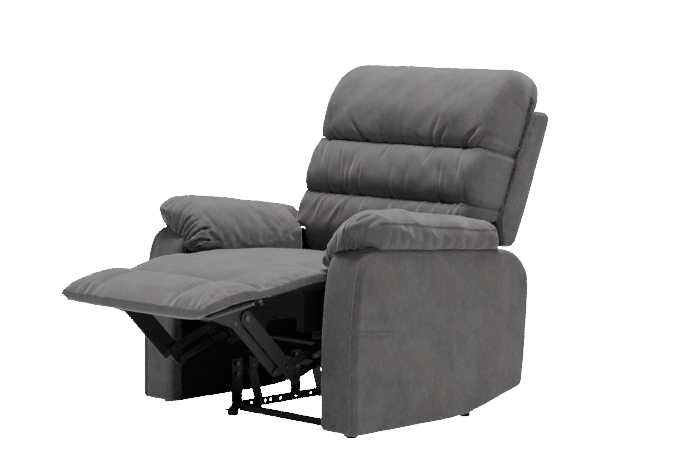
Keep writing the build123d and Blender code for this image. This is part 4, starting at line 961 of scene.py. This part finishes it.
middle_folds = (
    ((-0.235, 0.330), (-0.214, 0.216), 0.0050, 0.0035), ((-0.203, 0.368), (-0.165, 0.216), 0.0050, 0.0055),
    ((-0.172, 0.330), (-0.150, 0.216), 0.0050, 0.0040), ((-0.142, 0.345), (-0.135, 0.230), 0.0060, 0.0035),
    ((-0.098, 0.310), (-0.092, 0.214), 0.0060, 0.0035), ((0.025, 0.310), (0.036, 0.216), 0.0080, 0.0025),
    ((0.090, 0.320), (0.092, 0.230), 0.0080, 0.0025), ((0.202, 0.330), (0.230, 0.214), 0.0055, 0.0050),
    ((0.228, 0.320), (0.246, 0.220), 0.0055, 0.0035), ((0.300, 0.310), (0.318, 0.216), 0.0060, 0.0040),
    ((0.285, 0.250), (0.262, 0.374), 0.0060, 0.0030), ((-0.255, 0.260), (-0.280, 0.372), 0.0060, 0.0030),
    ((0.140, 0.300), (0.150, 0.374), 0.0070, 0.0022), ((-0.030, 0.300), (-0.020, 0.374), 0.0070, 0.0022),
)
lumbar_folds = (
    ((-0.250, 0.150), (-0.236, 0.205), 0.0050, 0.0040), ((-0.230, 0.116), (-0.215, 0.190), 0.0060, 0.0035),
    ((-0.179, 0.097), (-0.130, 0.190), 0.0080, 0.0035), ((-0.130, 0.130), (-0.124, 0.207), 0.0060, 0.0035),
    ((0.290, 0.150), (0.286, 0.206), 0.0050, 0.0040), ((0.312, 0.150), (0.308, 0.206), 0.0050, 0.0040),
    ((0.180, 0.120), (0.172, 0.207), 0.0070, 0.0030), ((0.060, 0.110), (0.064, 0.207), 0.0080, 0.0025),
    ((-0.040, 0.120), (-0.050, 0.207), 0.0070, 0.0025), ((0.235, 0.130), (0.225, 0.207), 0.0060, 0.0035),
)


def on_roll(points):
    """Place across the roll and height along the leaned back."""
    rise = (points[:, 1] - front - pivot_back) * np.sin(lean) + (points[:, 2] - pivot_up) * np.cos(lean)
    return np.stack((points[:, 0], rise), 1)


def roll_front(points):
    """1 on the front of the rolls and 0 behind them."""
    depth = (points[:, 1] - front - pivot_back) * np.cos(lean) - (points[:, 2] - pivot_up) * np.sin(lean)
    return smooth_step(-depth, 0.02, 0.08)


for name, skin, bed, half, top_corner, wing_up, seed, folds in (
    ("head", head_skin, head_bed, head_half, 0.056, 0.0, 41, head_folds),
    ("middle", middle_skin, middle_bed, middle_half, 0.0, 0.0, 42, middle_folds),
    ("lumbar", lumbar_skin, lumbar_bed, lumbar_half, 0.0, 0.210, 43, lumbar_folds),
):
    roll = sew(f"{name}_roll", roll_rows(skin, bed, half, top_corner, wing_up, seed), (microfibre,))
    refine(roll)
    fold(roll, folds, on_roll, only=roll_front)
    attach(roll, "backrest")
    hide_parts(f"{name}_cushion")

# Mechanism: pressed and punched steel links, rails and tubes in black satin powder paint, riveted together.
# The paint is even and low in gloss, with the fine orange peel that powder leaves.
def black_finish(name, grain, clouds, detail, tones, gloss, bumps):
    """A black surface with bumps of a grain's size, and larger clouds that shift its tone and roughness."""
    finish = bare_material(name)
    place = add(finish, "ShaderNodeTexCoord").outputs["Object"]
    fine = add(finish, "ShaderNodeTexNoise", {"Vector": place, "Scale": 1 / grain, "Detail": 2.0})
    dust = add(finish, "ShaderNodeTexNoise", {"Vector": place, "Scale": 1 / clouds, "Detail": detail})
    dust = dust.outputs["Fac"]
    tone = add(
        finish, "ShaderNodeMix", {0: dust, 6: linear(tones[0]), 7: linear(tones[1])}, data_type="RGBA"
    )
    rough = add(finish, "ShaderNodeMapRange", {"Value": dust, "To Min": gloss[0], "To Max": gloss[1]})
    bump = {"Height": fine.outputs["Fac"], "Strength": bumps[0], "Distance": bumps[1]}
    bump = add(finish, "ShaderNodeBump", bump)
    shader = add(
        finish,
        "ShaderNodeBsdfPrincipled",
        {"Base Color": tone.outputs[2], "Roughness": rough.outputs[0], "Normal": bump.outputs[0]},
    )
    add(finish, "ShaderNodeOutputMaterial", {"Surface": shader.outputs[0]})
    return finish


paint = black_finish(
    "black_powder_paint", 0.0018, 0.05, 5.0, ("#070708", "#101011"), (0.48, 0.64), (0.12, 0.0003)
)

# Rivets, bolts and springs: drawn steel, zinc-plated and dulled by a dark passivate. Rivets pin the links.
# The plate is a grey metal with cloudy stains a few millimetres across.
zinc = bare_material("dark_zinc_plate")
zinc_place = add(zinc, "ShaderNodeTexCoord").outputs["Object"]
zinc_stain = add(zinc, "ShaderNodeTexNoise", {"Vector": zinc_place, "Scale": 1 / 0.006, "Detail": 4.0})
zinc_tone = add(
    zinc,
    "ShaderNodeMix",
    {0: zinc_stain.outputs["Fac"], 6: linear("#35363a"), 7: linear("#6a6b6e")},
    data_type="RGBA",
)
zinc_rough = add(
    zinc, "ShaderNodeMapRange", {"Value": zinc_stain.outputs["Fac"], "To Min": 0.3, "To Max": 0.55}
)
zinc_shader = add(
    zinc,
    "ShaderNodeBsdfPrincipled",
    {"Base Color": zinc_tone.outputs[2], "Roughness": zinc_rough.outputs[0], "Metallic": 1.0},
)
add(zinc, "ShaderNodeOutputMaterial", {"Surface": zinc_shader.outputs[0]})

# Feet, glides and the release: moulded in black polypropylene, and pressed or screwed in place.
# The mould's fine spark-eroded grain gives an even, soft gloss.
plastic = black_finish(
    "black_moulded_polypropylene", 0.0012, 0.03, 4.0, ("#111112", "#1d1d1e"), (0.42, 0.6), (0.2, 0.0002)
)

# Back frame, seat box and boards: sawn pine and plywood, stapled together and left bare inside the cover.
# Growth lines about 6 mm apart run along the boards.
pine = bare_material("sawn_pine")
pine_place = add(pine, "ShaderNodeTexCoord").outputs["Object"]
pine_stretch = add(pine, "ShaderNodeMapping", {"Vector": pine_place, "Scale": (0.12, 1.0, 1.0)})
pine_rings = add(
    pine,
    "ShaderNodeTexWave",
    {"Vector": pine_stretch.outputs[0], "Scale": 1 / 0.006 / 6.3, "Distortion": 5.0, "Detail": 3.0},
)
pine_tone = add(
    pine,
    "ShaderNodeMix",
    {0: pine_rings.outputs["Fac"], 6: linear("#a98358"), 7: linear("#caa87c")},
    data_type="RGBA",
)
pine_shader = add(pine, "ShaderNodeBsdfPrincipled", {"Base Color": pine_tone.outputs[2], "Roughness": 0.75})
add(pine, "ShaderNodeOutputMaterial", {"Surface": pine_shader.outputs[0]})

# Every CAD node that shows takes the finish of its slot.
finishes = {
    "black_steel": paint, "zinc_steel": zinc, "spring_steel": zinc, "black_plastic": plastic, "plywood": pine,
    "black_lining": lining, "microfibre": microfibre,
}
for subpart in frame["record"]["subparts"]:
    node = frame["nodes"][subpart["node"]]
    node.data.materials.clear()
    node.data.materials.append(finishes[subpart["material_slot"]])

# Rear rail: a wooden board between the arms at the rear, under the back shell.
# It is wrapped in the cloth, which is stapled on the inside.
rail_low, rail_high = (np.array(corner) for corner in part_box("rear_rail"))
rail_span = rail_high - rail_low
rail_section = np.array((  # shares of the rail's thickness and height
    (0.5, 0.0), (0.95, 0.01), (1.0, 0.06), (1.0, 0.5), (1.0, 0.94), (0.95, 0.99), (0.5, 1.0), (0.05, 0.99),
    (0.0, 0.94), (0.0, 0.5), (0.0, 0.06), (0.05, 0.01),
))
rail_line = smooth_line(rail_section * rail_span[1:], 120, loop=True)
board = wrapped_board(rail_line, rail_span[0], 0.004, 0.0)
rows = np.stack((rail_low[0] + board[..., 2], rail_low[1] + board[..., 0], rail_low[2] + board[..., 1]), -1)
rail_wrap = sew("rear_rail_wrap", rows, (microfibre,))
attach(rail_wrap, "base")
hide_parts("rear_rail")
